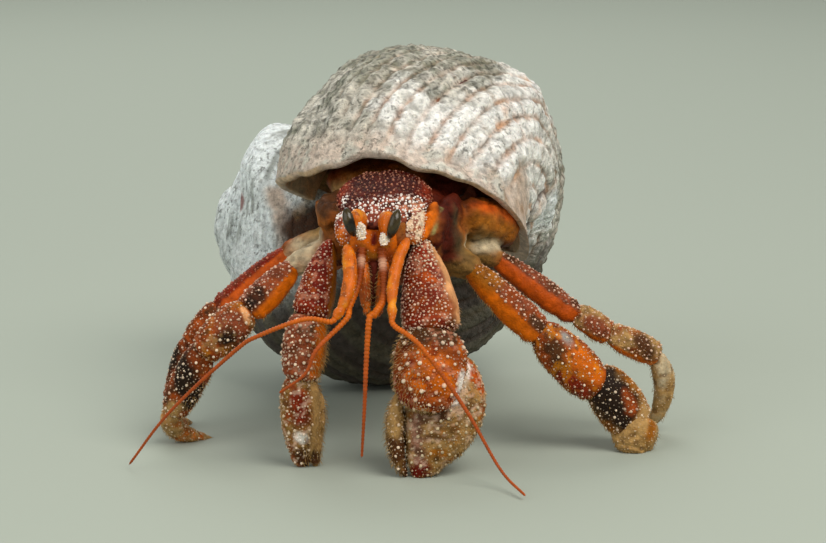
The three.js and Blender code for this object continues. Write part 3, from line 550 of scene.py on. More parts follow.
# Each plate's look: the ground and mottle colours; the smooth side's direction, limit and colour; size of the big
# granules and the gap between them, size of the small ones, the colour of both, and how far each kind takes it;
# the bristly side and the length of its bristles; marks on the plate and on its granules alone, each as (first end,
# last end, radius, colour, softness); flecks, each as (colour, size, limit, weight); height of the swellings.
PLAIN = dict(smooth=None, big=0.0, small=0.0, bead="bead", share=(0.72, 0.30), fuzz=(0, 0.4, -1), hair=0.55,
             marks=(), bright=(), flecks=(("umber", 0.9, 0.45, 0.5),), swell=0.10)
LOOKS = {
    "claw_l_merus": dict(ground="brick", mottle="rust", smooth=((0.93, -0.30, 0.25), 0.80, "peach"), big=0.20,
                         gap=0.44, small=0.12, bead="bead_rose", share=(0.72, 0.45),
                         flecks=(("rose", 0.9, 0.25, 0.7), ("wine", 1.2, 0.40, 0.8)),
                         bright=(((0.8, -3.6, 4.6), (1.8, -5.6, 2.6), 1.5, "bead", 0.6),),
                         marks=(((1.2, -8.8, -4.8), (4.6, -8.8, -4.8), 0.9, "umber", 0.4),
                                ((1.0, -8.4, -2.2), (3.8, -8.4, -3.0), 1.7, "rust", 0.6),
                                ((1.8, -7.0, 0.6), (2.6, -7.0, 0.2), 0.6, "ember", 0.5))),
    "claw_l_carpus": dict(ground="rust", mottle="orange", big=0.36, gap=1.15, small=0.15, hair=0.8,
                          fuzz=(-0.95, -0.1, -0.3), flecks=(("wine", 1.0, 0.45, 0.7), ("rose", 0.6, 0.45, 0.5)),
                          marks=(((-1.6, -12.0, -9.5), (-1.4, -12.5, -13.5), 1.0, "rust", 0.6),
                                 ((-1.2, -12.2, -15.0), (-0.6, -12.4, -14.6), 1.5, "brick", 0.5),
                                 ((3.6, -13.4, -11.6), (2.4, -13.5, -8.8), 1.9, "orange", 0.7),
                                 ((-2.0, -12.0, -14.2), (1.6, -12.8, -13.6), 1.1, "brick", 0.5),
                                 ((-1.0, -11.2, -5.8), (4.6, -11.0, -5.8), 2.0, "umber", 0.5),
                                 ((6.2, -11.6, -11.2), (5.0, -12.2, -13.6), 0.75, "milk", 0.3))),
    "claw_l_palm": dict(ground="olive", mottle="ochre", big=0.26, gap=0.90, small=0.14, bead="pale",
                        share=(0.7, 0.35),
                        flecks=(("umber", 1.0, 0.40, 0.7), ("tan", 1.2, 0.30, 0.7), ("bead_rose", 0.6, 0.40, 0.45)),
                        marks=(((0.4, -12.4, -16.6), (0.4, -12.4, -22.0), 1.2, "clay", 0.8),
                               ((3.6, -12.3, -16.4), (5.0, -11.6, -15.0), 1.3, "umber", 0.6),
                               ((7.4, -9.6, -10.4), (8.4, -9.4, -13.0), 1.3, "ember", 0.5),
                               ((6.9, -10.2, -10.2), (5.0, -12.0, -13.9), 1.15, "milk", 0.25),
                               ((0.4, -12.0, -23.8), (1.4, -12, -23.4), 1.1, "wine", 0.6),
                               ((8.0, -9.0, -16.0), (6.4, -9.4, -19.6), 1.2, "rust", 0.6))),
    "claw_l_dactyl": dict(ground="umber", mottle="olive", fuzz=(-0.95, -0.1, -0.2), hair=0.8, big=0.25, gap=1.0,
                          small=0.14,
                          marks=(((-2.0, -11.6, -13.4), (-2.4, -12.0, -17.6), 1.6, "tan", 0.5),)),
    "claw_r_merus": dict(ground="wine", mottle="brick",
                         flecks=(("rose", 1.0, 0.35, 0.6), ("rust", 1.4, 0.45, 0.7)),
                         smooth=((1, 0.1, 0), 0.60, "ochre"), big=0.18, gap=0.46, small=0.11, bead="bead_rose",
                         share=(0.66, 0.35),
                         marks=(((-13.6, -7.0, -3.0), (-13.2, -7.2, -3.4), 1.0, "brick", 0.5),)),
    "claw_r_carpus": dict(ground="mauve", mottle="rust", smooth=((1, -0.15, 0), 0.68, "ochre"), big=0.27,
                          gap=0.72, fuzz=(0.9, 0.1, -0.3), hair=0.8, small=0.16,
                          flecks=(("rose", 1.0, 0.2, 0.5), ("umber", 1.1, 0.45, 0.6)),
                          marks=(((-13.8, -8.9, -5.9), (-12.4, -8.9, -5.9), 0.9, "umber", 0.4),
                                 ((-15.6, -9.2, -9.0), (-14.6, -9.6, -7.6), 1.3, "mauve", 0.7),
                                 ((-11.8, -8.4, -6.0), (-12.6, -9.3, -11.8), 0.7, "orange", 0.6))),
    "claw_r_palm": dict(ground="olive", mottle="rust", smooth=((1, 0.1, 0), 0.45, "tan"), big=0.24, gap=0.8,
                        fuzz=(0.9, 0.1, -0.2), hair=0.8, small=0.15,
                        flecks=(("umber", 1.0, 0.35, 0.6), ("bead_rose", 0.6, 0.30, 0.5)),
                        marks=(((-14.8, -9.2, -14.8), (-14.2, -8.6, -17.4), 1.2, "brick", 0.6),
                               ((-14.6, -8.3, -20.1), (-14.2, -8.2, -20.3), 0.75, "milk", 0.4),
                               ((-14.6, -7.0, -22.8), (-13.6, -6.4, -23.8), 1.0, "umber", 0.6))),
    "claw_r_dactyl": dict(ground="tan", mottle="olive", fuzz=(0.9, 0.1, -0.2), hair=0.8, small=0.12,
                          marks=(((-12.9, -8.2, -15.2), (-13.1, -7.4, -19.2), 0.5, "umber", 0.3),
                                 ((-12.8, -6.4, -23.6), (-13.0, -6.4, -22.4), 0.8, "umber", 0.6))),
    "leg1_r_merus": dict(ground="mauve", mottle="rust", smooth=((0.72, -0.15, -0.68), 0.10, "orange"), big=0.22,
                         gap=0.62, small=0.13, bead="bead_rose",
                         marks=(((-20.0, 0.9, -3.2), (-20.9, 0.3, -4.4), 1.0, "black", 0.5),)),
    "leg1_r_carpus": dict(ground="rust", mottle="ochre", big=0.23, gap=0.75, small=0.13,
                          flecks=(("umber", 1.0, 0.40, 0.7), ("tan", 1.2, 0.40, 0.5)),
                          marks=(((-24.2, -1.4, -6.2), (-22.8, -1.2, -7.4), 1.7, "mauve", 0.5),
                                 ((-24.6, -1.6, -8.6), (-23.8, -1.4, -8.2), 1.0, "black", 0.5),
                                 ((-22.0, -0.6, -4.6), (-21.4, -0.9, -6.4), 0.5, "peach", 0.4))),
    "leg1_r_propodus": dict(ground="rust", mottle="umber", big=0.22, gap=0.85, small=0.12,
                            marks=(((-30.9, 0.0, -12.2), (-29.8, 0.0, -15.0), 1.9, "black", 0.35),
                                   ((-28.6, 0.6, -15.6), (-29.6, 1.2, -18.0), 1.2, "black", 0.35),
                                   ((-31.4, 1.2, -18.6), (-32.0, 2.0, -19.4), 1.2, "tan", 0.5))),
    "leg1_r_dactyl": dict(ground="tan", mottle="orange", big=0.18, gap=0.9, small=0.12),
    "leg2_r_merus": dict(ground="brick", mottle="wine", smooth=((0.6, -0.75, -0.2), 0.35, "ember"), big=0.22,
                         gap=0.85, small=0.13, bead="rose", share=(0.6, 0.2)),
    "leg2_r_carpus": dict(ground="rust", mottle="umber", big=0.22, gap=0.85, small=0.13),
    "leg2_r_propodus": dict(ground="rust", mottle="umber", big=0.22, gap=0.85, small=0.13,
                            marks=(((-31.9, 8.4, -12.4), (-32.2, 9.0, -14.6), 1.3, "black", 0.5),)),
    "leg2_r_dactyl": dict(ground="tan", mottle="orange", big=0.15, gap=0.9, small=0.1),
    "leg1_l_merus": dict(ground="rust", mottle="mauve", smooth=((-0.6, -0.25, -0.65), 0.12, "orange"), big=0.22,
                         gap=0.62, small=0.13, bead="bead_rose",
                         marks=(((7.2, 2.4, 1.4), (10.0, 1.6, -1.2), 1.6, "ochre", 0.6),
                                ((15.8, 0.0, -6.4), (17.0, 0.2, -7.6), 0.9, "umber", 0.5))),
    "leg1_l_carpus": dict(ground="rust", mottle="ochre", big=0.22, gap=0.85, small=0.12, share=(0.6, 0.2),
                          flecks=(("umber", 1.0, 0.45, 0.7), ("amber", 1.2, 0.5, 0.4)),
                          marks=(((18.4, -0.6, -10.2), (19.6, -0.8, -12.6), 1.3, "umber", 0.45),
                                 ((20.0, -0.6, -14.0), (22.6, -0.4, -16.4), 1.0, "brick", 0.5),
                                 ((20.0, 0.2, -8.6), (20.8, 0.0, -9.2), 0.8, "grey", 0.5),
                                 ((21.8, 0.2, -11.4), (23.8, 0.2, -13.4), 1.6, "orange", 0.7))),
    "leg1_l_propodus": dict(ground="ochre", mottle="tan", big=0.23, gap=0.95, small=0.12, flecks=(),
                            marks=(((24.4, 0.8, -14.8), (27.2, 0.4, -18.2), 3.2, "black", 0.35),
                                   ((28.4, 0.6, -16.4), (28.7, 0.8, -18.4), 0.9, "rust", 0.6),
                                   ((31.6, 2.4, -17.0), (30.6, 1.4, -20.6), 1.2, "tan", 0.6))),
    "leg1_l_dactyl": dict(ground="tan", mottle="olive", big=0.15, gap=1.1, small=0.11, share=(0.4, 0.2),
                          flecks=(("umber", 0.9, 0.5, 0.5), ("ochre", 1.5, 0.3, 0.5)),
                          marks=(((31.6, 1.6, -20.8), (31.4, 1.0, -22.0), 0.9, "ochre", 0.6),)),
    "leg2_l_merus": dict(ground="mauve", mottle="umber", smooth=((-0.35, -0.75, -0.55), 0.30, "ember"),
                         big=0.22, gap=0.62, small=0.13, bead="bead_rose"),
    "leg2_l_carpus": dict(ground="tan", mottle="rust", smooth=((0, -0.3, -1), 0.55, "orange"), big=0.2, gap=0.6,
                          small=0.12, bead="bead_rose",
                          marks=(((23.4, 7.6, -8.2), (25.2, 7.6, -9.4), 1.0, "mauve", 0.6),)),
    "leg2_l_propodus": dict(ground="tan", mottle="rust", smooth=((0, -0.3, -1), 0.6, "orange"), big=0.2,
                            gap=0.6, small=0.12, bead="bead_rose",
                            marks=(((30.4, 8.0, -11.0), (31.2, 8.2, -12.6), 1.1, "umber", 0.6),)),
    "leg2_l_dactyl": dict(ground="tan", mottle="pale", small=0.1),
    "carapace_shield": dict(ground="shield", mottle="maroon", big=0.18, gap=0.60, small=0.13,
                            bead="rose", share=(0.46, 0.06), hair=0.25, fuzz=(0, -0.8, -0.6), swell=0.16,
                            bright=(((-6.8, -4.8, 9.0), (-1.4, -4.4, 9.2), 2.2, "milk", 0.3),
                                    ((-1.0, -3.2, 9.6), (1.4, -2.0, 9.4), 1.6, "milk", 0.3),
                                    ((-9.4, -1.8, 9.4), (-8.8, -0.6, 9.8), 0.7, "milk", 0.5)),
                            marks=(((-6.8, -4.8, 9.0), (-1.4, -4.4, 9.2), 2.1, "dusk", 0.4),
                                   ((-0.6, -3.4, 9.4), (1.4, -2.2, 9.2), 1.2, "rose", 0.6),
                                   ((-10.0, -0.6, 9.4), (-9.2, 3.0, 10.4), 1.3, "brick", 0.7),
                                   ((1.6, 0.0, 9.6), (2.2, 3.4, 10.4), 1.3, "brick", 0.7)),
                            flecks=(("shield", 0.6, 0.20, 0.9),)),
    "face": dict(ground="orange", mottle="rust", small=0.09, share=(0.4, 0.12), hair=0.2,
                 swell=0.16, flecks=(),
                 marks=(((-5.0, -6.4, 6.9), (-5.0, -6.9, 5.2), 0.50, "wine", 0.35),
                        ((-6.9, -6.0, 5.2), (-5.0, -7.2, 2.8), 0.45, "ochre", 0.5),
                        ((-3.1, -6.0, 5.2), (-5.0, -7.2, 2.8), 0.45, "ochre", 0.5),
                        ((-5.0, -7.0, 2.2), (-5.0, -7.2, 0.8), 0.9, "maroon", 0.5))),
    "cheek_r": dict(ground="rose", mottle="orange", big=0.14, gap=0.40, hair=0.2,
                    bead="milk", share=(0.7, 0.5),
                    marks=(((-9.4, -1.6, 8.8), (-9.2, -2.4, 7.8), 0.9, "milk", 0.5),
                           ((-9.4, -3.6, 5.6), (-8.8, -4.8, 4.4), 1.0, "orange", 0.6)),
                    flecks=(("brick", 0.7, 0.25, 0.85),)),
    "cheek_l": dict(ground="bead", mottle="peach", big=0.17, gap=0.34, hair=0.2,
                    share=(0.8, 0.5),
                    marks=(((2.0, -2.2, 9.2), (1.2, -4.4, 4.8), 0.5, "orange", 0.5),
                           ((-0.4, -5.2, 4.9), (0.6, -4.6, 3.8), 0.8, "orange", 0.6)),
                    flecks=(("brick", 0.7, 0.32, 0.85),)),
    "eyestalk_r": dict(ground="orange", mottle="amber", small=0.07, hair=0.0, swell=0.06,
                       marks=(((-8.2, -6.4, 9.2), (-8.0, -4.4, 8.6), 0.7, "blush", 0.5),)),
    "eyestalk_l": dict(ground="orange", mottle="amber", small=0.07, hair=0.0, swell=0.06,
                       marks=(((-2.2, -6.4, 9.0), (-2.6, -4.4, 8.4), 0.7, "blush", 0.5),)),
    "maxilliped_r": dict(ground="rust", mottle="orange", small=0.08, hair=0.6,
                         fuzz=(0.8, -0.2, -0.6)),
    "maxilliped_l": dict(ground="rust", mottle="orange", small=0.08, hair=0.6,
                         fuzz=(-0.8, -0.2, -0.6)),
    **{f"antenna_{side}_stem": dict(ground="orange", mottle="amber", small=0.08, hair=0.3) for side in "rl"},
    **{f"scale_{side}": dict(ground="bead", mottle="milk", big=0.15, gap=0.26, bead="milk", share=(0.85, 0.5),
                             hair=0.0, swell=0.14, flecks=()) for side in "rl"},
}


def limb_of(name, grow=0.0):
    """The length of that node, as the solids have it."""
    for table in (BODY, EYES, STEMS, HOOKS, SCALES):
        if name in table:
            return Limb(grow=grow, **table[name])
    group, part = name.rsplit("_", 1)
    if group in CLAWS:
        return Limb(grow=grow, **{"face": FRONT, **CLAWS[group][part]})
    parts = LEGS[group]
    return Limb(grow=grow, **{"face": parts["face"], "keel": LEG_KEEL, **parts[part]})


SMALL_GAP = 0.42  # between the small granules
HAIR_GAP, SPARSE_GAP = 0.34, 0.85  # between the bristles of the fuzzy side, and those all over
PLATE_ROWS, PLATE_AROUND = 84, 64
EYE_ROWS, EYE_AROUND = 150, 110


def plate_relief(seed, swell):
    """Low swellings, a groove and a raised rim near the far end of a plate."""
    def relief(points, normals, t, turn):
        rim = 0.10 * np.exp(-((t - 0.90) / 0.03) ** 2) - 0.10 * np.exp(-((t - 0.83) / 0.03) ** 2)
        return swell * rough(points, 2.4, seed, 2) + 0.05 * rough(points, 0.8, seed + 3, 2) + rim - 0.05
    return relief


def plate_colours(points, normals, look, palette, seed):
    """Ground, mottle, smooth side and marks of a plate; also how far it is smooth."""
    tint = mix(palette[look["ground"]], palette[look["mottle"]], ease(-0.25, 0.9, rough(points, 1.5, seed, 3)))
    tint = tint * (1 + 0.30 * rough(points, 0.7, seed + 2, 2) * bool(look["big"]))[..., None]
    bare = np.zeros(points.shape[:-1])
    if look["smooth"]:
        way, limit, colour = look["smooth"]
        facing = normals @ unit(way) + 0.05 * rough(points, 1.5, seed + 5, 2)
        bare = ease(limit - 0.12, limit + 0.12, facing)
        tint = mix(tint, palette[colour] * (1 + 0.12 * rough(points, 2.0, seed + 9, 2))[..., None], bare)
    tint = marked(points, tint, look["marks"], palette, seed + 20)
    for number, (colour, size, least, weight) in enumerate(look["flecks"]):
        at = ease(least - 0.12, least + 0.12, rough(points, size, seed + 40 + number, 2))
        tint = mix(tint, palette[colour], weight * at * (1 - bare))
    return np.clip(tint, 0, 1), bare


def dress(name, palette, sizes, granules, hairs, columns):
    """Builds one plate; adds its granules and bristles to the limb's own builds."""
    look = {**PLAIN, **LOOKS[name]}
    seed = sum(ord(c) * (i + 3) for i, c in enumerate(name)) % 997
    rng = np.random.default_rng(seed)
    grid = limb_of(name).skin(PLATE_ROWS, PLATE_AROUND, plate_relief(seed, look["swell"]))
    points, normals, t, turn = grid
    tint, bare = plate_colours(points, normals, look, palette, seed)
    fuzz = unit(look["fuzz"])

    def covered(normal):
        if not look["smooth"]:
            return np.ones(len(normal))
        way, limit, _ = look["smooth"]
        return 1 - ease(limit - 0.1, limit + 0.06, normal @ unit(way))

    big, small = (look["big"], look.get("gap"), 1.0, 0), (look["small"], SMALL_GAP, 0.62, 1)
    for size, gap, share, kind in (big, small):
        if not size:
            continue
        size = size * sizes["granule"]
        spots = scatter(grid, gap * sizes["spacing"], lambda p, n, s: share * covered(n) * ease(0.015, 0.05, s)
                        * (1 - 0.75 * ease(0.35, 0.75, n @ fuzz)), rng)
        count = len(spots[0])
        if not count:
            continue
        ground = np.broadcast_to(palette[look["ground"]], (count, 3))
        local = marked(spots[0], ground, look["marks"], palette, seed + 20)
        pale = palette[look["bead"]] * rng.uniform(0.82, 1.12, (count, 1))
        share_pale = np.clip(rng.normal(look["share"][kind], 0.26, count), 0, 1)
        pale = marked(spots[0], pale, look["bright"], palette, seed + 30)
        lit = {**palette, "milk": np.ones(3)}
        bright = marked(spots[0], np.zeros((count, 3)), look["bright"], lit, seed + 30)[:, 0]
        tinted = mix(local, pale, np.maximum(share_pale, 0.95 * bright))
        broad = size * rng.uniform(0.6, 1.2, count) * (1 + 0.3 * bright)
        domes(granules, spots, broad, broad * rng.uniform(0.75, 1.15, count), tinted, columns,
              sides=8 if kind == 0 and size > 0.14 else 6)
    long = look["hair"] * sizes["bristle"]
    if long:
        spots = scatter(grid, HAIR_GAP, lambda p, n, s: ease(0.03, 0.1, s)
                        * ease(0.05, 0.75, n @ fuzz + 0.25 * noise(p, 1.5, seed)), rng)
        count = len(spots[0])
        straw = palette["straw"] * rng.uniform(0.55, 1.2, (count, 1))
        bristles(hairs, spots, long * rng.uniform(0.5, 1.3, count), rng.uniform(0.06, 0.10, count), straw,
                 columns, rng)
        spots = scatter(grid, SPARSE_GAP, lambda p, n, s: 0.6 * covered(n) * ease(0.03, 0.1, s), rng)
        count = len(spots[0])
        bristles(hairs, spots, 0.6 * long * rng.uniform(0.5, 1.3, count), rng.uniform(0.05, 0.08, count),
                 palette["straw"] * rng.uniform(0.5, 1.1, (count, 1)), columns, rng, lie=1.4)
    piece = Build()
    piece.period = MAP_WIDTH / columns[1]
    closed_grid(piece, points, tint, bare, chart_of(t, turn, *columns))
    return piece


# ---------- the shell ----------

FINE_RADIUS = 18.45  # a little under the solids' tube, which the relief then fills
WALL = 1.6
CAVITY = 0.84  # turns that the open inside goes back from the mouth
TUBE_START, HIDDEN, TUBE_END = -110, 112, 250  # degrees; from HIDDEN on the tube lies against the whorl before
SHELL_ROWS, SHELL_AROUND, LIP_ROWS, CAVITY_ROWS = 880, 260, 7, 100


def shell_axes():
    """Directions of the shell's own axes."""
    yaw, pitch, roll = (math.radians(SHELL[k]) for k in ("yaw", "pitch", "roll"))
    z = np.array([[math.cos(yaw), -math.sin(yaw), 0], [math.sin(yaw), math.cos(yaw), 0], [0, 0, 1]])
    x = np.array([[1, 0, 0], [0, math.cos(pitch), -math.sin(pitch)], [0, math.sin(pitch), math.cos(pitch)]])
    y = np.array([[math.cos(roll), 0, math.sin(roll)], [0, 1, 0], [-math.sin(roll), 0, math.cos(roll)]])
    return z @ x @ y @ np.array([[0, 0, -1], [0, 1, 0], [1, 0, 0]])


def winding(turn, angle):
    """Angle wound, with the slant of the lip, and the radius of the tube there."""
    lip = SHELL["lip_forward"] * np.cos(angle) + SHELL["lip_low"] * np.sin(angle)
    theta = 2 * math.pi * turn + lip * np.maximum(0, 1 + turn / SHELL["turns"]) ** 6
    return theta, FINE_RADIUS * SHELL["growth"] ** (theta / (2 * math.pi))


def shell_point(turn, angle, share=1.0, inset=0.0):
    """A point of the wound tube: turns back from the mouth, and angle round the tube."""
    theta, size = winding(turn, angle)
    section = share - inset / size
    away = np.maximum(SHELL["columella"] * size + inset, size * (SHELL["offset"] + section * np.cos(angle)))
    local = np.stack([
        away * np.cos(-theta) - FINE_RADIUS * SHELL["offset"], away * np.sin(-theta),
        size * (-SHELL["drop"] + section * np.sin(angle)) + FINE_RADIUS * SHELL["drop"]], -1)
    return local @ shell_axes().T + np.array(SHELL["mouth"])


def under_next(turn, angle):
    """How deep, in tube radii, a point of the tube lies inside the whorl that follows."""
    _, size = winding(turn, angle)
    after = size * SHELL["growth"]
    away = size * (SHELL["offset"] + np.cos(angle)) - after * SHELL["offset"]
    along = size * (-SHELL["drop"] + np.sin(angle)) + after * SHELL["drop"]
    depth = 1 - np.hypot(away, along) / after
    return np.where(turn + 1 < 0.004, depth, -1.0)


def cells(u, v, seed, jitter=0.30):
    """Distance to the nearest of a jittered grid of seeds, and two random numbers of that seed."""
    best, first, second = np.full(u.shape, 9.0), np.zeros(u.shape), np.zeros(u.shape)
    iu, iv = np.floor(u).astype(np.int64), np.floor(v).astype(np.int64)
    for du in (-1, 0, 1):
        for dv in (-1, 0, 1):
            a, b = iu + du, iv + dv
            n = scrambled((a * HASH[0]) ^ (b * HASH[1]) ^ (seed * HASH[2]))
            r1, r2, r3 = (n & 1023) / 1023, (n >> 10 & 1023) / 1023, (n >> 20 & 1023) / 1023
            d = np.hypot(u - a - 0.5 - jitter * (r1 - 0.5) * 2, v - b - 0.5 - 0.35 * jitter * (r2 - 0.5) * 2)
            near = d < best
            best = np.where(near, d, best)
            first, second = np.where(near, r3, first), np.where(near, r1 * 0.6 + r2 * 0.4, second)
    return best, first, second


def cord_phase(angle):
    """Counts the spiral cords round the tube: close set above, wider below."""
    degrees = around_degrees(angle)
    marks = np.array([-180.0, -60.0, -30.0, 0.0, 30.0, 180.0])
    pitch = np.array([11.0, 10.5, 9.0, 7.5, 6.5, 6.5])
    steps = np.concatenate([[0], np.cumsum(np.diff(marks) * (1 / pitch[1:] + 1 / pitch[:-1]) / 2)])
    return np.interp(degrees, marks, steps)


KNOB = np.array([17.25, 29.25, 3.17])  # a worn knob beside the inner lip
KNOB_RING = 2.6  # radius of the groove round it
BLUE = np.array([19.6, 33.5, 2.0])  # middle of the bluish base of the shell
RUST_SPOT = np.array([-24.5, 37.0, 2.7])
TURN_LENGTH = 63.0  # along the last whorl, in millimetres
CORD_HEIGHT, CHIP_HEIGHT, LUMP_HEIGHT, FINE_HEIGHT = 0.54, 0.22, 0.22, 0.20
FLUTE_HEIGHT = 0.24  # of the broad cords that the solids have, too
KNOB_HEIGHT, RING_DEPTH, GROWTH_DEPTH = 1.3, 0.55, 0.16


def callus(turn, angle, lump):
    """Where the shell is covered by the smooth glaze of the inner lip."""
    degrees = around_degrees(angle) + 4 * lump
    return ease(-76, -90, degrees) * ease(-165, -150, degrees) * ease(-0.125, -0.085, turn + 0.008 * lump)


def shell_relief(turn, angle, points):
    """Height in millimetres of the cords, beads and growth lines, and values for the colours."""
    _, size = winding(turn, angle)
    scale = size / FINE_RADIUS
    run = TURN_LENGTH * np.log(np.maximum(scale, 1e-3)) / math.log(SHELL["growth"])
    wander = rough(points, 6.0, 51, 2)
    phase = cord_phase(angle) + 0.10 * wander
    across = np.abs(2 * (phase % 1) - 1)  # 0 in the middle of a cord, 1 in a groove
    cord = 1 - across ** 3
    near, tall, _ = cells(run * 0.8 + 0.25 * wander, phase, 5)
    scale_at, chip, _ = cells(run * 2.1 + 0.5 * wander, phase * 2.2, 9, 0.5)
    bead = np.sqrt(np.maximum(0, 1 - (near / 0.72) ** 2)) * (0.6 + 0.5 * tall)
    lump = rough(points, 1.5, 61, 3)
    worn = ease(-0.4, 0.8, rough(points, 8.0, 65, 2))
    growth_line = np.exp(-((run * 0.22 + 0.25 * wander) % 1 / 0.07) ** 2)
    fine = rough(points, 0.8, 81, 3)
    chips = (1 - (scale_at / 0.75) ** 2) * chip
    height = CORD_HEIGHT * cord * (0.30 + 0.70 * bead) * (1 - 0.30 * worn) + LUMP_HEIGHT * lump
    height = height + FINE_HEIGHT * fine - GROWTH_DEPTH * growth_line
    height = height + CHIP_HEIGHT * chips - 0.08
    smooth = callus(turn, angle, lump)
    height = (height + FLUTE_HEIGHT * np.sin(13 * angle)) * (1 - 0.9 * smooth)
    knob_at = np.linalg.norm(points - KNOB, axis=-1)
    height = height + KNOB_HEIGHT * np.exp(-(knob_at / 1.5) ** 2)
    height = height - RING_DEPTH * np.exp(-((knob_at - KNOB_RING) / 0.5) ** 2)
    return height * np.clip(scale, 0.15, 1) * (0.35 + 0.65 * ease(-0.98, -0.72, turn)), cord, bead, lump, fine


WALL_MARKS = (
    ((-19.0, 31.5, 4.6), (-17.0, 29.0, -2.4), 1.5, "lip", 0.5),
    # Painted shadow: a dark umber patch low on the left wall of the mouth, where the leg shades the shell.
    ((-16.2, 29.2, 0.4), (-12.6, 29.4, 1.6), 2.6, "umber", 0.5),
    ((-16.0, 30.4, 2.0), (-12.4, 33.4, 6.8), 1.1, "tan", 0.4),
    ((-15.8, 32.4, 5.6), (-12.6, 34.6, 8.2), 1.2, "maroon", 0.4),
)


def shell_colours(turn, angle, points, palette, values):
    """Tints of the shell's outside, with painted shade on its underside, in its dips, in its grooves and bead gaps
    and round its knob; where it lies against the next whorl; and where dirt clings.
    """
    cord, bead, lump, fine = values
    degrees = around_degrees(angle)
    x, _, z = points[..., 0], points[..., 1], points[..., 2]
    big = rough(points, 12.0, 91, 3)
    medium = rough(points, 3.0, 92, 3)
    white = ease(-9, 0, x + 3 * medium) * ease(23.5, 15, x + 2.0 * big) * ease(25, 19, z + 2.5 * big)
    tint = mix(palette["bone"], palette["chalk"], np.clip(white + 0.25 * medium + 0.2 * lump, 0, 1))
    # Painted shade: the tint is darkened in the dips of the lumpy relief.
    tint = tint * (1 - 0.38 * ease(-0.05, -0.9, lump + 0.6 * fine))[..., None]
    groove = ease(0.74, 0.20, cord * (0.66 + 0.34 * bead) + 0.22 * fine)
    # The grooves take a dark tone that is partly dirt lodged in them and partly painted shade.
    groove_dirt_and_shade = mix(palette["slate"], palette["groove"], ease(-14, -4, x + 4 * medium) * ease(24, 17, x))
    tint = mix(tint, groove_dirt_and_shade, 0.80 * groove * (0.40 + 0.60 * ease(-0.5, 0.5, medium)))
    # Painted shade: the gaps between the beads are darkened with the same tone.
    bead_gap_shade = ease(0.75, 0.20, bead) * (1 - groove)
    tint = mix(tint, groove_dirt_and_shade, 0.45 * bead_gap_shade * ease(-0.6, 0.4, medium + fine))
    narrow = ease(0.45, 0.90, np.abs(2 * (2 * cord_phase(angle) + 0.12 * medium) % 2 - 1)) * (1 - white)
    narrow = narrow * ease(-0.6, 0.25, medium + 0.6 * fine) * ease(-0.5, -0.35, turn)
    tint = mix(tint, palette["speck"], 0.75 * narrow)
    grit = ease(0.0, 0.6, fine + 0.4 * medium) * ease(0.35, 0.9, np.maximum(groove, bead_gap_shade))
    tint = mix(tint, palette["speck"], 0.60 * grit)
    blush = ease(0.25, 0.85, rough(points, 5.0, 95, 3) + 0.35 * groove)
    tint = mix(tint, palette["peach"], 0.55 * blush * white)
    moss = medium + 0.5 * fine - 0.35 * lump + 0.55 * (1 - white) + 0.3 * ease(17, 27, z + 2 * big) - 0.35
    tint = mix(tint, palette["algae"], 0.62 * ease(-0.30, 0.70, moss) * (1 - 0.80 * white))
    speck_at, speck, _ = cells(turn * 330 + 2 * fine, degrees * 0.42 + fine, 17)
    dots = ease(0.30, 0.16, speck_at) * (speck > 0.45) * ease(0.9, 0.3, white)
    tint = mix(tint, palette["speck"], 0.75 * dots)
    lip = ease(-0.035, -0.012, turn + 0.006 * medium)
    tint = mix(tint, mix(palette["lip"], palette["bone"], ease(-0.2, 0.9, medium + fine)), lip * 0.85)
    smooth = callus(turn, angle, lump)
    tint = mix(tint, mix(palette["lip"], palette["beige"], ease(-0.6, 0.6, medium)), smooth)
    blue_at = ease(4.6, 2.6, np.linalg.norm(points - BLUE, axis=-1) + 0.8 * medium)
    tint = mix(tint, palette["spire"], 0.85 * blue_at)
    knob_at = np.linalg.norm(points - KNOB, axis=-1)
    # Painted shade: a dark umber ring in the groove round the knob.
    tint = mix(tint, palette["umber"], 0.85 * np.exp(-((knob_at - KNOB_RING) / 0.55) ** 2))
    knob = mix(palette["chalk"], palette["peach"], 0.45 + 0.4 * medium)
    tint = mix(tint, knob, ease(2.1, 1.4, knob_at + 0.3 * fine))
    spire = ease(-0.55, -0.85, turn + 0.03 * medium)
    streak = ease(0.10, 0.9, rough(np.stack([turn * 40, degrees * 0.30, 0 * turn], -1), 2.2, 111, 3))
    shade = np.maximum(streak, ease(4, -12, z + 2 * medium) * 0.5)
    blue = mix(palette["spire"], palette["slate"], 0.75 * shade)
    tint = mix(tint, blue, spire * 0.9)
    rust_spot = np.linalg.norm(points - RUST_SPOT, axis=-1) + 0.6 * medium
    tint = mix(tint, palette["brick"], 0.8 * ease(1.6, 0.7, rust_spot))
    # Painted shade: low on the shell the tint goes to the near-black under tone, banded with dark olive. The
    # olive-brown is the shell's own colour; the depth of the dark is painted shade.
    over = z + 2.4 * big + 1.6 * medium + 0.55 * np.maximum(0, -x - 9) + 0.35 * np.maximum(0, x - 16)
    low = ease(1.5, -8, over) * (1 - smooth)
    band = ease(-0.2, 0.5, np.sin(2.2 * cord_phase(angle)) + 0.6 * big)
    tint = mix(tint, mix(palette["under"], palette["olive_dark"], band), low * 0.94)
    inside = ease(0.0, 0.03, under_next(turn, angle))
    wall = mix(palette["inner"], palette["cream"], ease(-0.2, 0.8, np.sin(degrees * 0.16) + 0.5 * big))
    tint = mix(tint, wall, inside)
    tint = marked(points, tint, WALL_MARKS, palette, 140)
    dirt = np.clip(0.60 + 0.40 * (1 - white) + 0.5 * medium - 0.3 * spire, 0, 1) * (1 - inside) * (1 - smooth)
    return tint, inside, dirt


NOTCH_AT = 24  # degrees below the front, where the lip is worn back most


def lip_retreat(angle):
    """How far, in turns, the worn edge of the lip stands back."""
    degrees = around_degrees(angle)
    notch = 0.0090 * np.exp(-((degrees + NOTCH_AT) / np.where(degrees > -NOTCH_AT, 18, 11)) ** 2)
    return notch + 0.0010 * np.sin(degrees * 0.37 + 1) * np.exp(-((degrees + 20) / 70) ** 4)


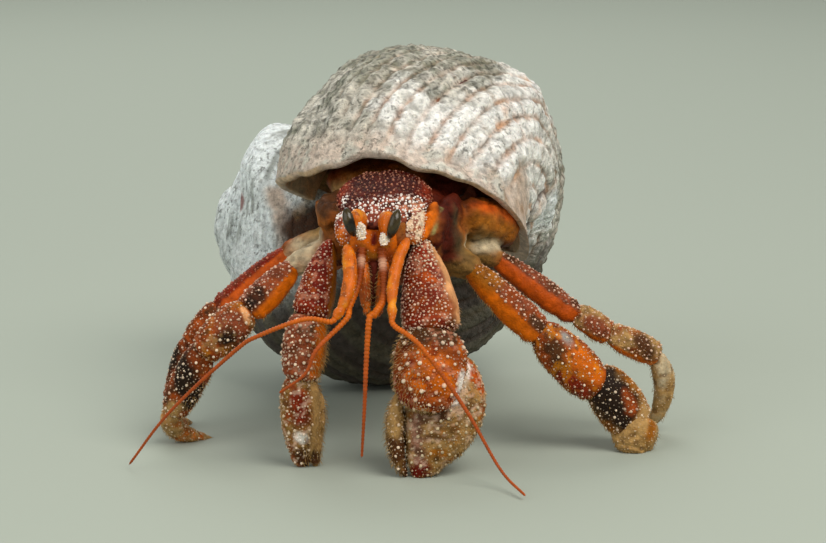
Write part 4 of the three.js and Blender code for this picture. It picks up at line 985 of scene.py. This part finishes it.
def lip_and_cavity(angle, palette):
    """The worn edge of the mouth and the open inside: points and tints of both."""
    lip_angle = np.repeat(angle[None], LIP_ROWS, axis=0)
    bow = np.linspace(0, 1, LIP_ROWS + 2)[1:-1, None]
    rim = shell_point(0.0022 * np.sin(math.pi * bow) - lip_retreat(lip_angle), lip_angle, inset=WALL * bow)
    back = -CAVITY * np.linspace(0, 1, CAVITY_ROWS) ** 1.25
    back, angle = np.meshgrid(back, angle, indexing="ij")
    back = back - lip_retreat(angle) * ease(-0.2, 0, back)
    cavity = shell_point(back, angle, inset=WALL)
    stain = rough(cavity, 7.0, 121, 3)
    ripple = np.sin(np.degrees(angle) * 0.11 + 1.2)
    inner = mix(palette["maroon"], palette["inner"], ease(-0.35, 0.6, ripple + 0.7 * stain))
    glaze = mix(palette["cream"], palette["peach"], ease(-0.4, 0.5, stain))
    inner = mix(inner, glaze, ease(-0.10, -0.0, back))
    rim_tint = mix(palette["lip"], palette["cream"], ease(-0.3, 0.5, rough(rim[3], 4.0, 131, 2)))
    return rim, cavity, np.repeat(rim_tint[None], LIP_ROWS, 0), inner


# How far the outline stands out from the winding: the crown by x, the flank of the spire by z, in millimetres.
CROWN = ((-20, -16, -13, -6, -2, 1, 4, 8, 11, 14, 17, 20),
         (0.4, 0.5, -0.1, 0.4, -0.3, -0.9, -1.2, -1.3, -0.9, -0.3, 0.9, -1.2))
FLANK = ((-9, -6.5, -5, -3.7, -2.3, 2, 3.6, 7, 11, 15), (1.4, 1.3, 0.8, 0.4, -0.1, -0.2, 0.1, 1.8, 2.4, 0.3))


def shell_build(palette, sizes):
    """The whole shell as one closed mesh: outside, lip and cavity."""
    build = Build()
    share = np.linspace(0, 1, 2000)
    pace = np.cumsum(np.select([share > 0.8, share > 0.6], [2.2, 1.1], 0.55))
    turn = np.interp(np.linspace(0, pace[-1], SHELL_ROWS), pace, -SHELL["turns"] * (1 - share))
    degrees = np.linspace(TUBE_START, TUBE_END, 3601)
    weight = np.cumsum(np.where(degrees > HIDDEN, 0.33, 1.0))
    angle = np.radians(np.interp(np.arange(SHELL_AROUND) / SHELL_AROUND * weight[-1], weight, degrees))
    rim, cavity, rim_tint, inner = lip_and_cavity(angle, palette)
    turn, angle = np.meshgrid(turn, angle, indexing="ij")
    turn = turn - lip_retreat(angle) * ease(-0.2, 0.0, turn)
    points = shell_point(turn, angle)
    normals = grid_normals(points, shell_point(turn, angle, share=0.0))
    height, *values = shell_relief(turn, angle, points)
    tint, inside, dirt = shell_colours(turn, angle, points, palette, values)
    edge = ease(-0.020, 0.0, turn)
    height = height * sizes["relief"] * (1 - inside) * (1 - edge)
    x, z = points[..., 0], points[..., 2]
    crown, flank = np.interp(x, *CROWN), np.interp(z, *FLANK)
    swell = crown * ease(0.1, 0.7, normals[..., 2]) * ease(-0.62, -0.42, turn)
    swell = swell + flank * ease(0.2, 0.7, -normals[..., 0]) * ease(-15, -19, x) * ease(-0.45, -0.65, turn)
    points = points + normals * (height + swell * (1 - inside) * (1 - edge))[..., None]
    all_points = np.concatenate([points, rim, cavity])
    all_points[..., 2] = np.maximum(all_points[..., 2], ORIGIN[2] + 0.01)
    clean = np.zeros((LIP_ROWS + CAVITY_ROWS, SHELL_AROUND, 1))
    all_tint = np.concatenate([tint, rim_tint, inner])
    all_tint = np.concatenate([all_tint, np.concatenate([dirt[..., None], clean])], -1)
    all_wear = np.concatenate([inside, np.full(rim.shape[:2], 0.3), np.ones(cavity.shape[:2])])
    closed_grid(build, all_points, all_tint, all_wear)
    return build


# ---------- the soft skin ----------

SOFT = ["thorax", "carapace_rear", "flank_r", "flank_l", "hook_leg_r", "hook_leg_l"] + [
    f"{group}_base" for group in (*CLAWS, *LEGS)]
# Where the skin is not plain, as the marks of the plates are given.
SKIN_MARKS = (
    ((-12.0, -0.5, 8.4), (-10.5, 9.0, 9.4), 1.8, "umber", 0.5),
    ((8.0, 6.0, 8.0), (13.5, 12.6, 4.6), 1.0, "ember", 0.6),
    ((8.2, 6.6, 5.6), (13.6, 12.4, 2.4), 1.4, "ochre", 0.6),
    ((8.6, 7.0, 3.2), (12.6, 12.0, 0.6), 1.2, "umber", 0.6),
    ((4.5, 1.5, 9.0), (4.5, 10.0, 10.0), 3.4, "maroon", 0.5),
    ((-15.0, 5.0, 1.0), (-11.0, 7.0, 3.4), 3.2, "pale", 0.5),
    ((-13.0, 8.0, 5.0), (-10.0, 10.0, 8.0), 2.4, "tan", 0.6),
    ((-9.5, 2.0, 3.0), (-8.5, 1.0, 0.6), 2.0, "maroon", 0.6),
    ((6.4, 3.0, 0.6), (8.6, 8.4, 1.4), 3.0, "olive", 0.6),
    ((7.0, 5.0, 2.6), (11.0, 10.0, 1.4), 1.0, "pale", 0.6),
    ((5.0, 0.6, 9.2), (5.0, 0.6, 2.6), 2.0, "maroon", 0.5),
    ((6.8, 1.6, 9.6), (7.0, 1.2, 3.0), 1.5, "olive_dark", 0.6),
    ((4.6, -0.6, 9.0), (3.4, -2.4, 3.4), 1.2, "maroon", 0.5),
    ((2.8, -1.8, 9.2), (1.0, -4.6, 4.6), 0.75, "orange", 0.5),
    ((3.6, -1.2, 8.6), (2.3, -3.6, 4.6), 0.26, "sage", 0.7),
    ((-5.0, -7.4, 1.8), (-5.1, -8.6, -4.2), 1.4, "maroon", 0.4),
)


def remeshed(build, voxel):
    """Joins the overlapping solids of a build into one closed skin; returns points and faces."""
    points = np.concatenate(build.points)
    mesh = bpy.data.meshes.new("joined")
    faces = [face for block in build.quads + build.tris for face in block.tolist()]
    mesh.from_pydata((points * MM).tolist(), [], faces)
    carrier = bpy.data.objects.new("joined", mesh)
    bpy.context.scene.collection.objects.link(carrier)
    rule = carrier.modifiers.new("join", "REMESH")
    rule.mode, rule.voxel_size, rule.adaptivity = "VOXEL", voxel * MM, 0.0
    soften = carrier.modifiers.new("soften", "SMOOTH")
    soften.factor, soften.iterations = 0.5, 4
    bpy.context.view_layer.update()
    made = carrier.evaluated_get(bpy.context.evaluated_depsgraph_get()).to_mesh()

    def read(items, name, per=1, kind=np.int32):
        values = np.empty(len(items) * per, kind)
        items.foreach_get(name, values)
        return values

    out, normals = (read(made.vertices, name, 3, np.float32).reshape(-1, 3).astype(float)
                    for name in ("co", "normal"))
    corner = read(made.loops, "vertex_index")
    start, total = read(made.polygons, "loop_start"), read(made.polygons, "loop_total")
    four, three = start[total == 4], start[total == 3]
    quads = corner[four[:, None] + np.arange(4)]
    tris = corner[three[:, None] + np.arange(3)]
    bpy.data.objects.remove(carrier)
    bpy.data.meshes.remove(mesh)
    return out / MM, normals, quads, tris


# Folds of skin that close the gaps between the shield, the flanks and the roots of the legs.
FOLDS = (
    dict(a=(6.6, 6.4, 6.6), b=(13.2, 15.0, 2.8), half=((1.8, 2.2), (2.6, 3.2), (2.2, 2.8))),
    dict(a=(-1.8, -4.4, 7.8), b=(-1.5, -5.0, 4.2), half=((0.8, 0.7), (1.0, 0.9), (0.9, 0.8)), face=FRONT),
    dict(a=(-5.0, -7.0, 2.8), b=(-5.1, -8.0, -3.2), half=((1.0, 0.5), (1.2, 0.5), (0.7, 0.4)), face=FRONT),
    dict(a=(3.0, -0.6, 9.4), b=(0.9, -4.0, 4.6), half=((0.6, 0.8), (0.8, 1.0), (0.7, 0.8)), face=FRONT),
    dict(a=(-17.0, 4.6, -0.6), b=(-9.5, 4.6, 2.2), half=((1.5, 1.4), (2.2, 2.0), (2.2, 2.0))),
    dict(a=(-17.6, 9.4, 0.6), b=(-9.0, 9.4, 3.0), half=((1.4, 1.3), (2.1, 1.9), (2.4, 2.2))),
    dict(a=(9.0, 3.4, -0.8), b=(3.0, 4.0, 2.0), half=((1.4, 1.3), (2.3, 2.1), (2.2, 2.2))),
    dict(a=(12.2, 9.8, -0.4), b=(3.4, 9.4, 2.6), half=((1.4, 1.3), (2.2, 2.0), (2.4, 2.2))),
    dict(a=(3.6, -0.4, 8.4), b=(2.6, -2.2, 3.6), half=((1.2, 1.2), (1.5, 1.4), (1.2, 1.2)), face=FRONT),
    dict(a=(0.2, -1.2, 7.0), b=(1.8, 9.5, 8.4), half=((2.2, 1.7), (3.0, 2.2), (2.6, 2.0))),
    dict(a=(-8.8, -0.4, 6.8), b=(-8.8, 9.5, 8.2), half=((1.7, 1.5), (2.3, 2.0), (2.2, 2.0))),
    dict(a=(3.4, 0.2, 4.6), b=(5.2, 8.0, 3.0), half=((1.6, 2.0), (2.4, 2.6), (2.2, 2.4))),
    dict(a=(-9.6, 1.0, 4.4), b=(-10.4, 8.0, 3.0), half=((1.4, 1.8), (2.2, 2.4), (2.0, 2.2))),
    dict(a=(-4.6, -4.4, 4.0), b=(-4.4, -1.0, 2.4), half=((2.6, 1.6), (3.4, 2.2), (3.0, 2.0))),
    dict(a=(2.0, -1.4, 3.6), b=(3.0, 3.6, 1.4), half=((1.4, 1.6), (1.8, 1.9), (1.8, 1.9))),
    dict(a=(-9.6, -1.0, 3.6), b=(-9.6, 3.6, 1.4), half=((1.0, 1.3), (1.6, 1.7), (1.6, 1.7))),
)


SKIN_INSET = 0.12  # millimetres under the solids, so that the folds fill up to them


def skin_build(palette, sizes):
    """The one soft skin: body, roots of the limbs, hook legs, abdomen and the folds between them."""
    lumps = Build()
    for limb in [limb_of(name, grow=-SKIN_INSET) for name in SOFT] + [Limb(**fold) for fold in FOLDS]:
        points = limb.skin(40, 32)[0]
        closed_grid(lumps, points, points * 0, points[..., 0] * 0)
    first, last, share = ABDOMEN
    round_belly = np.linspace(0, 2 * math.pi, 40, endpoint=False)
    turn, angle = np.meshgrid(np.linspace(first, last, 90), round_belly, indexing="ij")
    belly = shell_point(turn, angle, share=share)
    closed_grid(lumps, belly, belly * 0, belly[..., 0] * 0)
    points, normals, quads, tris = remeshed(lumps, sizes["voxel"])
    fold = rough(points * np.array([1.0, 1.0, 2.2]), 1.6, 201, 3)
    crease = 1 - np.abs(rough(points * np.array([1.0, 1.0, 1.7]), 2.6, 203, 3))
    points = points + normals * (0.16 * fold - 0.14 * ease(0.75, 1.0, crease) - 0.02)[:, None]
    points[:, 2] = np.maximum(points[:, 2], ORIGIN[2] + 0.02)
    tint = mix(palette["skin"], palette["rust"], ease(-0.4, 0.9, rough(points, 3.0, 211, 3)))
    tint = marked(points, tint, SKIN_MARKS, palette, 220)
    # The tint varies at random, and is darkened in the creases as painted shade.
    tint = tint * (1 + 0.30 * rough(points, 0.9, 215, 2) - 0.35 * ease(0.8, 1.0, crease))[:, None]
    tint = np.clip(tint, 0, 1)
    tint = mix(tint, palette["maroon"], ease(9, 16, points[:, 1]) * 0.8)
    build = Build()
    build.add(points, quads, tris, tint, 0.0)
    return build


# ---------- the head ----------

def cornea(name, palette):
    """One glossy eye, with the fine bumps of its facets in the mesh."""
    def facets(points, normals, t, turn):
        return 0.012 * (np.sin(turn * 34) * np.sin(t * 110)) * ease(0.04, 0.2, t) * ease(0.96, 0.8, t)
    points, normals, _, _ = limb_of(name, grow=-SKIN_INSET).skin(EYE_ROWS, EYE_AROUND, facets)
    dark = ease(-0.1, 0.7, rough(points, 1.4, 301, 3) + 0.35)
    tint = mix(palette["eye_pale"], palette["eye_dark"], dark)
    # Painted shade: the sides of the eye that turn away from the front are darkened towards umber.
    rim = ease(0.30, 0.05, normals @ np.array(FRONT) + 0.1)
    tint = mix(tint, palette["umber"], 0.6 * rim)
    build = Build()
    closed_grid(build, points, tint, points[..., 0] * 0 + 1.0)
    return build


# ---------- feelers ----------

def smooth_line(points, count):
    """A smooth line through the points, evenly resampled."""
    p = np.array(points, float)
    p = np.concatenate([[2 * p[0] - p[1]], p, [2 * p[-1] - p[-2]]])
    parts = []
    for i in range(1, len(p) - 2):
        s = np.linspace(0, 1, 60, endpoint=False)[:, None]
        before, here, after, later = p[i - 1:i + 3]
        parts.append(0.5 * (2 * here + (after - before) * s
                            + (2 * before - 5 * here + 4 * after - later) * s ** 2
                            + (3 * here - before - 3 * after + later) * s ** 3))
    line = np.concatenate(parts + [p[-2:-1]])
    run = np.concatenate([[0], np.cumsum(np.linalg.norm(np.diff(line, axis=0), axis=1))])
    even = np.linspace(0, run[-1], count)
    return np.stack([np.interp(even, run, line[:, k]) for k in range(3)], -1), run[-1]


FEELER_AROUND = 12
RING_ROWS = 5  # rows of the grid for each ring of a feeler


def feeler_build(name, palette):
    """One ringed feeler, tapering to its tip."""
    points, (wide, fine) = FEELERS[name]
    length = smooth_line(points, 10)[1]
    pitch = 0.42 if "whip" in name else 0.5
    rows = int(length / pitch) * RING_ROWS
    line, _ = smooth_line(points, rows)
    ahead = unit(np.gradient(line, axis=0))
    side = unit(np.cross(ahead, (0.1, 1, 0.2)))
    out = np.cross(ahead, side)
    s = np.linspace(0, 1, rows)
    ring = (np.arange(rows) / RING_ROWS) % 1
    radius = (wide + (fine - wide) * s ** 0.8) * (1 + 0.13 * np.cos(2 * math.pi * ring))
    radius = radius * (1 - 0.9 * ease(0.985, 1, s))
    turn = np.linspace(0, 2 * math.pi, FEELER_AROUND, endpoint=False)
    grid = (line[:, None] + side[:, None] * (radius[:, None] * np.cos(turn))[..., None]
            + out[:, None] * (radius[:, None] * np.sin(turn))[..., None])
    grid[..., 2] = np.maximum(grid[..., 2], ORIGIN[2] + 0.03)
    if "stalk" in name:
        pale_part = np.minimum(1, 0.25 + ease(0.20, 0.06, s) + ease(0.18, 0.40, s))
        base = mix(palette["blush"], palette["rust"], pale_part)
        base = mix(base, palette["orange"], ease(0.5, 0.95, s))
    else:
        base = mix(palette["orange"], palette["feeler"], ease(0.0, 0.5, s))
    tint = mix(base * (1 - 0.22 * (ring > 0.6))[:, None], palette["rust"],
               0.5 * ease(0.4, 1.0, s) * ease(-0.3, 0.6, noise(line, 3, 5)))
    tint = np.repeat(tint[:, None], FEELER_AROUND, axis=1)
    build = Build()
    closed_grid(build, grid, tint, grid[..., 0] * 0)
    return build


# ---------- finishes ----------

# Roughness at wear 0 and at wear 1, scale of the grain, how far it varies the tone and how far it is raised;
# then what only some have: light let in, coat, pits, and specks as (colour, scale).
FINISHES = {
    "crab_chitin": dict(roughness=(0.52, 0.36), grain=900.0, vary=0.34, bump=0.45, soft=0.03, specular=0.09,
                        pits=2600.0),
    "crab_granules": dict(roughness=(0.48, 0.36), grain=1200.0, vary=0.18, bump=0.2, soft=0.06, specular=0.3),
    "crab_bristles": dict(roughness=(0.55, 0.45), grain=700.0, vary=0.2, bump=0.05),
    "crab_skin": dict(roughness=(0.62, 0.48), grain=600.0, vary=0.34, bump=0.6, soft=0.05, specular=0.12,
                      pits=1800.0),
    "crab_orange_plates": dict(roughness=(0.42, 0.32), grain=800.0, vary=0.22, bump=0.30, soft=0.04, coat=0.03,
                               specular=0.2),
    "crab_feelers": dict(roughness=(0.42, 0.34), grain=900.0, vary=0.2, bump=0.15, soft=0.04, specular=0.2),
    "crab_cornea": dict(roughness=(0.16, 0.10), grain=1500.0, vary=0.20, bump=0.04, coat=0.25, specular=0.3),
    "turban_shell": dict(roughness=(0.82, 0.42), grain=1100.0, vary=0.36, bump=1.0, soft=0.03, pits=1700.0,
                         speck=("speck", 1500.0)),
}


def finish_named(name, palette):
    """The finish of that name, made when it is first asked for."""
    return bpy.data.materials.get(name) or new_finish(name, palette, **FINISHES[name])


def new_finish(name, palette, roughness, grain, vary, bump, soft=0.0, coat=0.0, specular=0.5, pits=0.0,
               speck=None):
    """A procedural finish: each piece's own tint, varied and roughened by noise in its own space."""
    material = bpy.data.materials.new(name)
    material.use_nodes = True
    nodes, links = material.node_tree.nodes, material.node_tree.links
    skin = nodes["Principled BSDF"]
    own_space = nodes.new("ShaderNodeTexCoord").outputs["Object"]

    def attribute(label):
        node = nodes.new("ShaderNodeAttribute")
        node.attribute_name = label
        return node.outputs

    def texture(kind, output, scale, **values):
        node = nodes.new(kind)
        for socket, value in {"Scale": scale, **values}.items():
            node.inputs[socket].default_value = value
        links.new(own_space, node.inputs["Vector"])
        return node.outputs[output]

    def grainy(scale, detail):
        return texture("ShaderNodeTexNoise", "Fac", scale, Detail=detail, Roughness=0.62)

    def calculate(operation, a, b):
        node = nodes.new("ShaderNodeMath")
        node.operation = operation
        links.new(a, node.inputs[0])
        links.new(b, node.inputs[1])
        return node.outputs[0]

    def remap(source, low, high, to_low, to_high):
        node = nodes.new("ShaderNodeMapRange")
        node.inputs["From Min"].default_value, node.inputs["From Max"].default_value = low, high
        node.inputs["To Min"].default_value, node.inputs["To Max"].default_value = to_low, to_high
        links.new(source, node.inputs["Value"])
        return node.outputs["Result"]

    def blend(kind, factor, a, b):
        node = nodes.new("ShaderNodeMix")
        node.data_type, node.blend_type = "RGBA", kind
        for socket, value in zip((node.inputs[0], node.inputs[6], node.inputs[7]), (factor, a, b)):
            if isinstance(value, bpy.types.NodeSocket):
                links.new(value, socket)
            else:
                socket.default_value = value
        return node.outputs[2]

    tint, wear = attribute("Tint"), attribute("Wear")
    coarse, fine = grainy(grain, 5.0), grainy(grain * 4.0, 4.0)
    shade = remap(coarse, 0.3, 0.7, 1 - vary, 1 + vary)
    grey = nodes.new("ShaderNodeCombineColor")
    for channel in grey.inputs:
        links.new(shade, channel)
    colour = blend("MULTIPLY", 1.0, tint["Color"], grey.outputs["Color"])
    if speck:
        dots = remap(grainy(speck[1], 3.0), 0.53, 0.64, 0.0, 0.72)
        colour = blend("MIX", calculate("MULTIPLY", dots, tint["Alpha"]), colour, (*palette[speck[0]], 1.0))
    links.new(colour, skin.inputs["Base Color"])
    level = remap(wear["Fac"], 0.0, 1.0, *roughness)
    links.new(calculate("ADD", level, remap(fine, 0.3, 0.7, -0.08, 0.08)), skin.inputs["Roughness"])
    relief = calculate("ADD", coarse, fine)
    if pits:
        dents = texture("ShaderNodeTexVoronoi", "Distance", pits)
        relief = calculate("ADD", relief, remap(dents, 0.0, 0.35, -0.6, 0.0))
    raised = nodes.new("ShaderNodeBump")
    raised.inputs["Strength"].default_value = bump
    raised.inputs["Distance"].default_value = 0.0002
    links.new(relief, raised.inputs["Height"])
    links.new(raised.outputs["Normal"], skin.inputs["Normal"])
    for socket, value in (("Specular IOR Level", specular), ("Coat Weight", coat), ("Coat Roughness", 0.12),
                          ("Subsurface Weight", soft), ("Subsurface Radius", (0.0012, 0.0006, 0.0003)),
                          ("Subsurface Scale", 1.0)):
        skin.inputs[socket].default_value = value
    return material


# ---------- the add-on's settings ----------

# The under tone is the shell's olive-brown underside darkened by painted shade.
COLOURS = {
    "chalk": "f9f6ef", "bone": "cdc6b6", "groove": "b78b6c", "algae": "6c7059", "spire": "eef3f1",
    "slate": "74786f", "umber": "4a2a12", "olive_dark": "4a4129", "inner": "9a6a44", "cream": "c9ac88",
    "maroon": "4e1606", "peach": "d79a66", "speck": "3f3c30", "lip": "cdb8a6", "beige": "a98767",
    "under": "33200f", "orange": "c65f06", "rust": "8a3c0e", "amber": "dc8610", "brick": "7c240a",
    "wine": "661505", "shield": "340702", "dusk": "8a4430", "ochre": "9a5a12", "mauve": "7e3d22",
    "ember": "b04a0c", "black": "22150b", "tan": "a9834f", "pale": "c4b08e", "olive": "8a6634",
    "milk": "eee4da", "grey": "8f8a84", "bead": "e6cdb0", "bead_rose": "e2bca2", "straw": "b68f52",
    "skin": "96561f", "clay": "8f6450", "blush": "d9a888", "sage": "8f8450", "rose": "bf7c5e",
    "eye_pale": "3a2e14", "eye_dark": "140f06", "feeler": "a94a12", "floor": "a2a99b",
}
SIZES = {
    "granule": ("Granule size", "How large the granules are", 0.80, 0.3, 2.0),
    "spacing": ("Granule spacing", "How far apart the granules stand", 1.0, 0.6, 3.0),
    "bristle": ("Bristle length", "How long the bristles are", 1.0, 0.0, 3.0),
    "relief": ("Shell relief", "How high the beads of the shell stand", 1.0, 0.0, 2.0),
    "voxel": ("Skin detail", "Voxel size of the joined skin, in millimetres", 0.36, 0.25, 1.0),
}

ColourGroup = type("HermitCrabColours", (bpy.types.PropertyGroup,), {"__annotations__": {
    name: bpy.props.FloatVectorProperty(
        name=name.replace("_", " ").capitalize(),
        description=f"The {name.replace('_', ' ')} tone, in linear light",
        subtype="COLOR", size=3, min=0, max=1, default=tuple(tone(code)))
    for name, code in COLOURS.items()}})
SizeGroup = type("HermitCrabSizes", (bpy.types.PropertyGroup,), {"__annotations__": {
    name: bpy.props.FloatProperty(name=title, description=text, default=value, min=low, max=high,
                                  subtype="FACTOR")
    for name, (title, text, value, low, high) in SIZES.items()}})


def settings():
    """Colours and sizes as the panel has them."""
    scene = bpy.context.scene
    palette = {name: np.array(getattr(scene.hermit_crab_colours, name)) for name in COLOURS}
    return palette, {name: getattr(scene.hermit_crab_sizes, name) for name in SIZES}


def aimed(at, target):
    """Rotation of a lamp or camera at one point that looks at another."""
    x, y, z = (target[k] - at[k] for k in range(3))
    flat = math.hypot(x, y)
    return math.atan2(flat, -z), 0.0, math.atan2(y, x) - math.pi / 2


def dress_group(group, names, slots, finishes):
    """Makes the plates of one limb or of the head, with one piece of granules and one of bristles."""
    palette, sizes = settings()
    granules, hairs = Build(), Build()
    for column, name in enumerate(names):
        made = dress(name, palette, sizes, granules, hairs, (column, len(names)))
        finish = finish_named(finishes[column], palette)
        made.finish(f"{name}_plate", finish, slots[column], () if name in SCALES else [name])
    for coat, kind in ((granules, "granules"), (hairs, "bristles")):
        if coat.count:
            coat.finish(f"{group}_{kind}", finish_named(f"crab_{kind}", palette), slots[0])


def dress_limbs(table, parts, slot):
    """Makes the plates of every limb of a table."""
    for group in table:
        names = [f"{group}_{part}" for part in parts]
        dress_group(group, names, [slot] * len(parts), ["crab_chitin"] * len(parts))


class MakeShell(bpy.types.Operator):
    """Build the turban shell"""
    bl_idname = "hermit_crab.make_shell"
    bl_label = "Shell"

    def execute(self, context):
        palette, sizes = settings()
        finish = finish_named("turban_shell", palette)
        shell_build(palette, sizes).finish("turban_shell", finish, "shell_chalk", ["shell"])
        return {"FINISHED"}


class MakeSkin(bpy.types.Operator):
    """Build the one soft skin of the body and the roots of the legs"""
    bl_idname = "hermit_crab.make_skin"
    bl_label = "Soft skin"

    def execute(self, context):
        palette, sizes = settings()
        finish = finish_named("crab_skin", palette)
        skin_build(palette, sizes).finish("soft_skin", finish, "soft_skin", SOFT + ["abdomen"])
        return {"FINISHED"}


class MakeHead(bpy.types.Operator):
    """Build the head: its plates, mouth parts, eyestalks and eyes"""
    bl_idname = "hermit_crab.make_head"
    bl_label = "Head"

    def execute(self, context):
        palette, _ = settings()
        rough_plates = ["carapace_shield", "face", "cheek_r", "cheek_l", "scale_r", "scale_l"]
        orange_plates = ["maxilliped_r", "maxilliped_l", "eyestalk_r", "eyestalk_l"]
        slots = ["shield_granular"] * len(rough_plates) + ["orange_plate"] * len(orange_plates)
        finishes = ["crab_chitin"] * len(rough_plates) + ["crab_orange_plates"] * len(orange_plates)
        dress_group("head", rough_plates + orange_plates, slots, finishes)
        for name in ("eye_r", "eye_l"):
            finish = finish_named("crab_cornea", palette)
            cornea(name, palette).finish(f"{name}_cornea", finish, "cornea", [name])
        return {"FINISHED"}


class MakeFeelers(bpy.types.Operator):
    """Build the antennae and antennules"""
    bl_idname = "hermit_crab.make_feelers"
    bl_label = "Feelers"

    def execute(self, context):
        palette, _ = settings()
        dress_group("stems", list(STEMS), ["orange_plate"] * 2, ["crab_orange_plates"] * 2)
        for name in FEELERS:
            slot = "orange_plate" if "stalk" in name else "feeler"
            finish = finish_named("crab_feelers", palette)
            feeler_build(name, palette).finish(f"{name}_ringed", finish, slot, [name])
        return {"FINISHED"}


class MakeClaws(bpy.types.Operator):
    """Build both claws with their granules and bristles"""
    bl_idname = "hermit_crab.make_claws"
    bl_label = "Claws"

    def execute(self, context):
        dress_limbs(CLAWS, ("merus", "carpus", "palm", "dactyl"), "claw_granular")
        return {"FINISHED"}


class MakeLegs(bpy.types.Operator):
    """Build the four walking legs with their granules and bristles"""
    bl_idname = "hermit_crab.make_legs"
    bl_label = "Legs"

    def execute(self, context):
        dress_limbs(LEGS, ("merus", "carpus", "propodus", "dactyl"), "leg_granular")
        return {"FINISHED"}


FLOOR_HALF = 3.0
# Each lamp: name, place, what it looks at, power, size and colour.
LAMPS = (
    ("key", (0.28, -0.36, 0.55), (0, 0, 0.02), 4.2, 0.45, (1.0, 0.97, 0.93)),
    ("fill", (-0.45, -0.35, 0.30), (0, 0, 0.02), 1.6, 0.60, (0.94, 0.97, 1.0)),
    ("back", (-0.10, 0.45, 0.45), (0, 0, 0.03), 1.6, 0.50, (1.0, 1.0, 1.0)),
)
CAMERA_AT = (0.0009, -0.41298, 0.10092)
CAMERA_AIM = (0.0009, -0.02033, 0.0246)
FOCAL_LENGTH, SENSOR_WIDTH = 134.1, 36.0  # millimetres


class MakeStage(bpy.types.Operator):
    """Build the pale floor, the soft lights and the camera"""
    bl_idname = "hermit_crab.make_stage"
    bl_label = "Stage"

    def execute(self, context):
        palette, _ = settings()
        scene = context.scene
        corners = [(FLOOR_HALF * x, FLOOR_HALF * y, 0) for x, y in ((-1, -1), (1, -1), (1, 1), (-1, 1))]
        mesh = bpy.data.meshes.new("floor")
        mesh.from_pydata(corners, [], [(0, 1, 2, 3)])
        floor = bpy.data.objects.new("floor", mesh)
        scene.collection.objects.link(floor)
        pale = bpy.data.materials.new("floor_pale")
        pale.use_nodes = True
        sockets = pale.node_tree.nodes["Principled BSDF"].inputs
        sockets["Base Color"].default_value = (*palette["floor"], 1)
        sockets["Roughness"].default_value = 0.9
        mesh.materials.append(pale)

        for name, at, aim, power, size, colour in LAMPS:
            lamp = bpy.data.lights.new(name, "AREA")
            lamp.energy, lamp.size, lamp.color = power, size, colour
            light = bpy.data.objects.new(name, lamp)
            light.location = at
            light.rotation_euler = aimed(at, aim)
            scene.collection.objects.link(light)
        world = bpy.data.worlds.new("soft_sky")
        world.use_nodes = True
        sky = world.node_tree.nodes["Background"].inputs
        sky["Color"].default_value = (0.86, 0.90, 0.88, 1)
        sky["Strength"].default_value = 0.38
        scene.world = world
        scene.view_settings.view_transform = "Standard"

        lens = bpy.data.cameras.new("camera")
        lens.lens, lens.sensor_width, lens.clip_start = FOCAL_LENGTH, SENSOR_WIDTH, 0.01
        camera = bpy.data.objects.new("camera", lens)
        camera.location = CAMERA_AT
        camera.rotation_euler = aimed(camera.location, CAMERA_AIM)
        scene.collection.objects.link(camera)
        scene.camera = camera
        return {"FINISHED"}


class HermitCrabPanel(bpy.types.Panel):
    """Lists the pieces of the hermit crab and their settings"""
    bl_idname = "VIEW3D_PT_hermit_crab"
    bl_label = "Hermit crab"
    bl_space_type = "VIEW_3D"
    bl_region_type = "UI"
    bl_category = "Hermit crab"

    def draw(self, context):
        for piece in PIECES:
            self.layout.operator(piece.bl_idname)
        scene = context.scene
        for group, names in ((scene.hermit_crab_sizes, SIZES), (scene.hermit_crab_colours, COLOURS)):
            for name in names:
                self.layout.prop(group, name)


PIECES = (MakeShell, MakeSkin, MakeHead, MakeFeelers, MakeClaws, MakeLegs, MakeStage)
CLASSES = (ColourGroup, SizeGroup, *PIECES, HermitCrabPanel)


def register():
    for kind in CLASSES:
        bpy.utils.register_class(kind)
    bpy.types.Scene.hermit_crab_colours = bpy.props.PointerProperty(type=ColourGroup)
    bpy.types.Scene.hermit_crab_sizes = bpy.props.PointerProperty(type=SizeGroup)


def unregister():
    del bpy.types.Scene.hermit_crab_sizes
    del bpy.types.Scene.hermit_crab_colours
    for kind in reversed(CLASSES):
        bpy.utils.unregister_class(kind)


def main():
    """Builds every piece."""
    register()
    for piece in PIECES:
        group, name = piece.bl_idname.split(".")
        getattr(getattr(bpy.ops, group), name)()


if __name__ == "__main__":
    main()
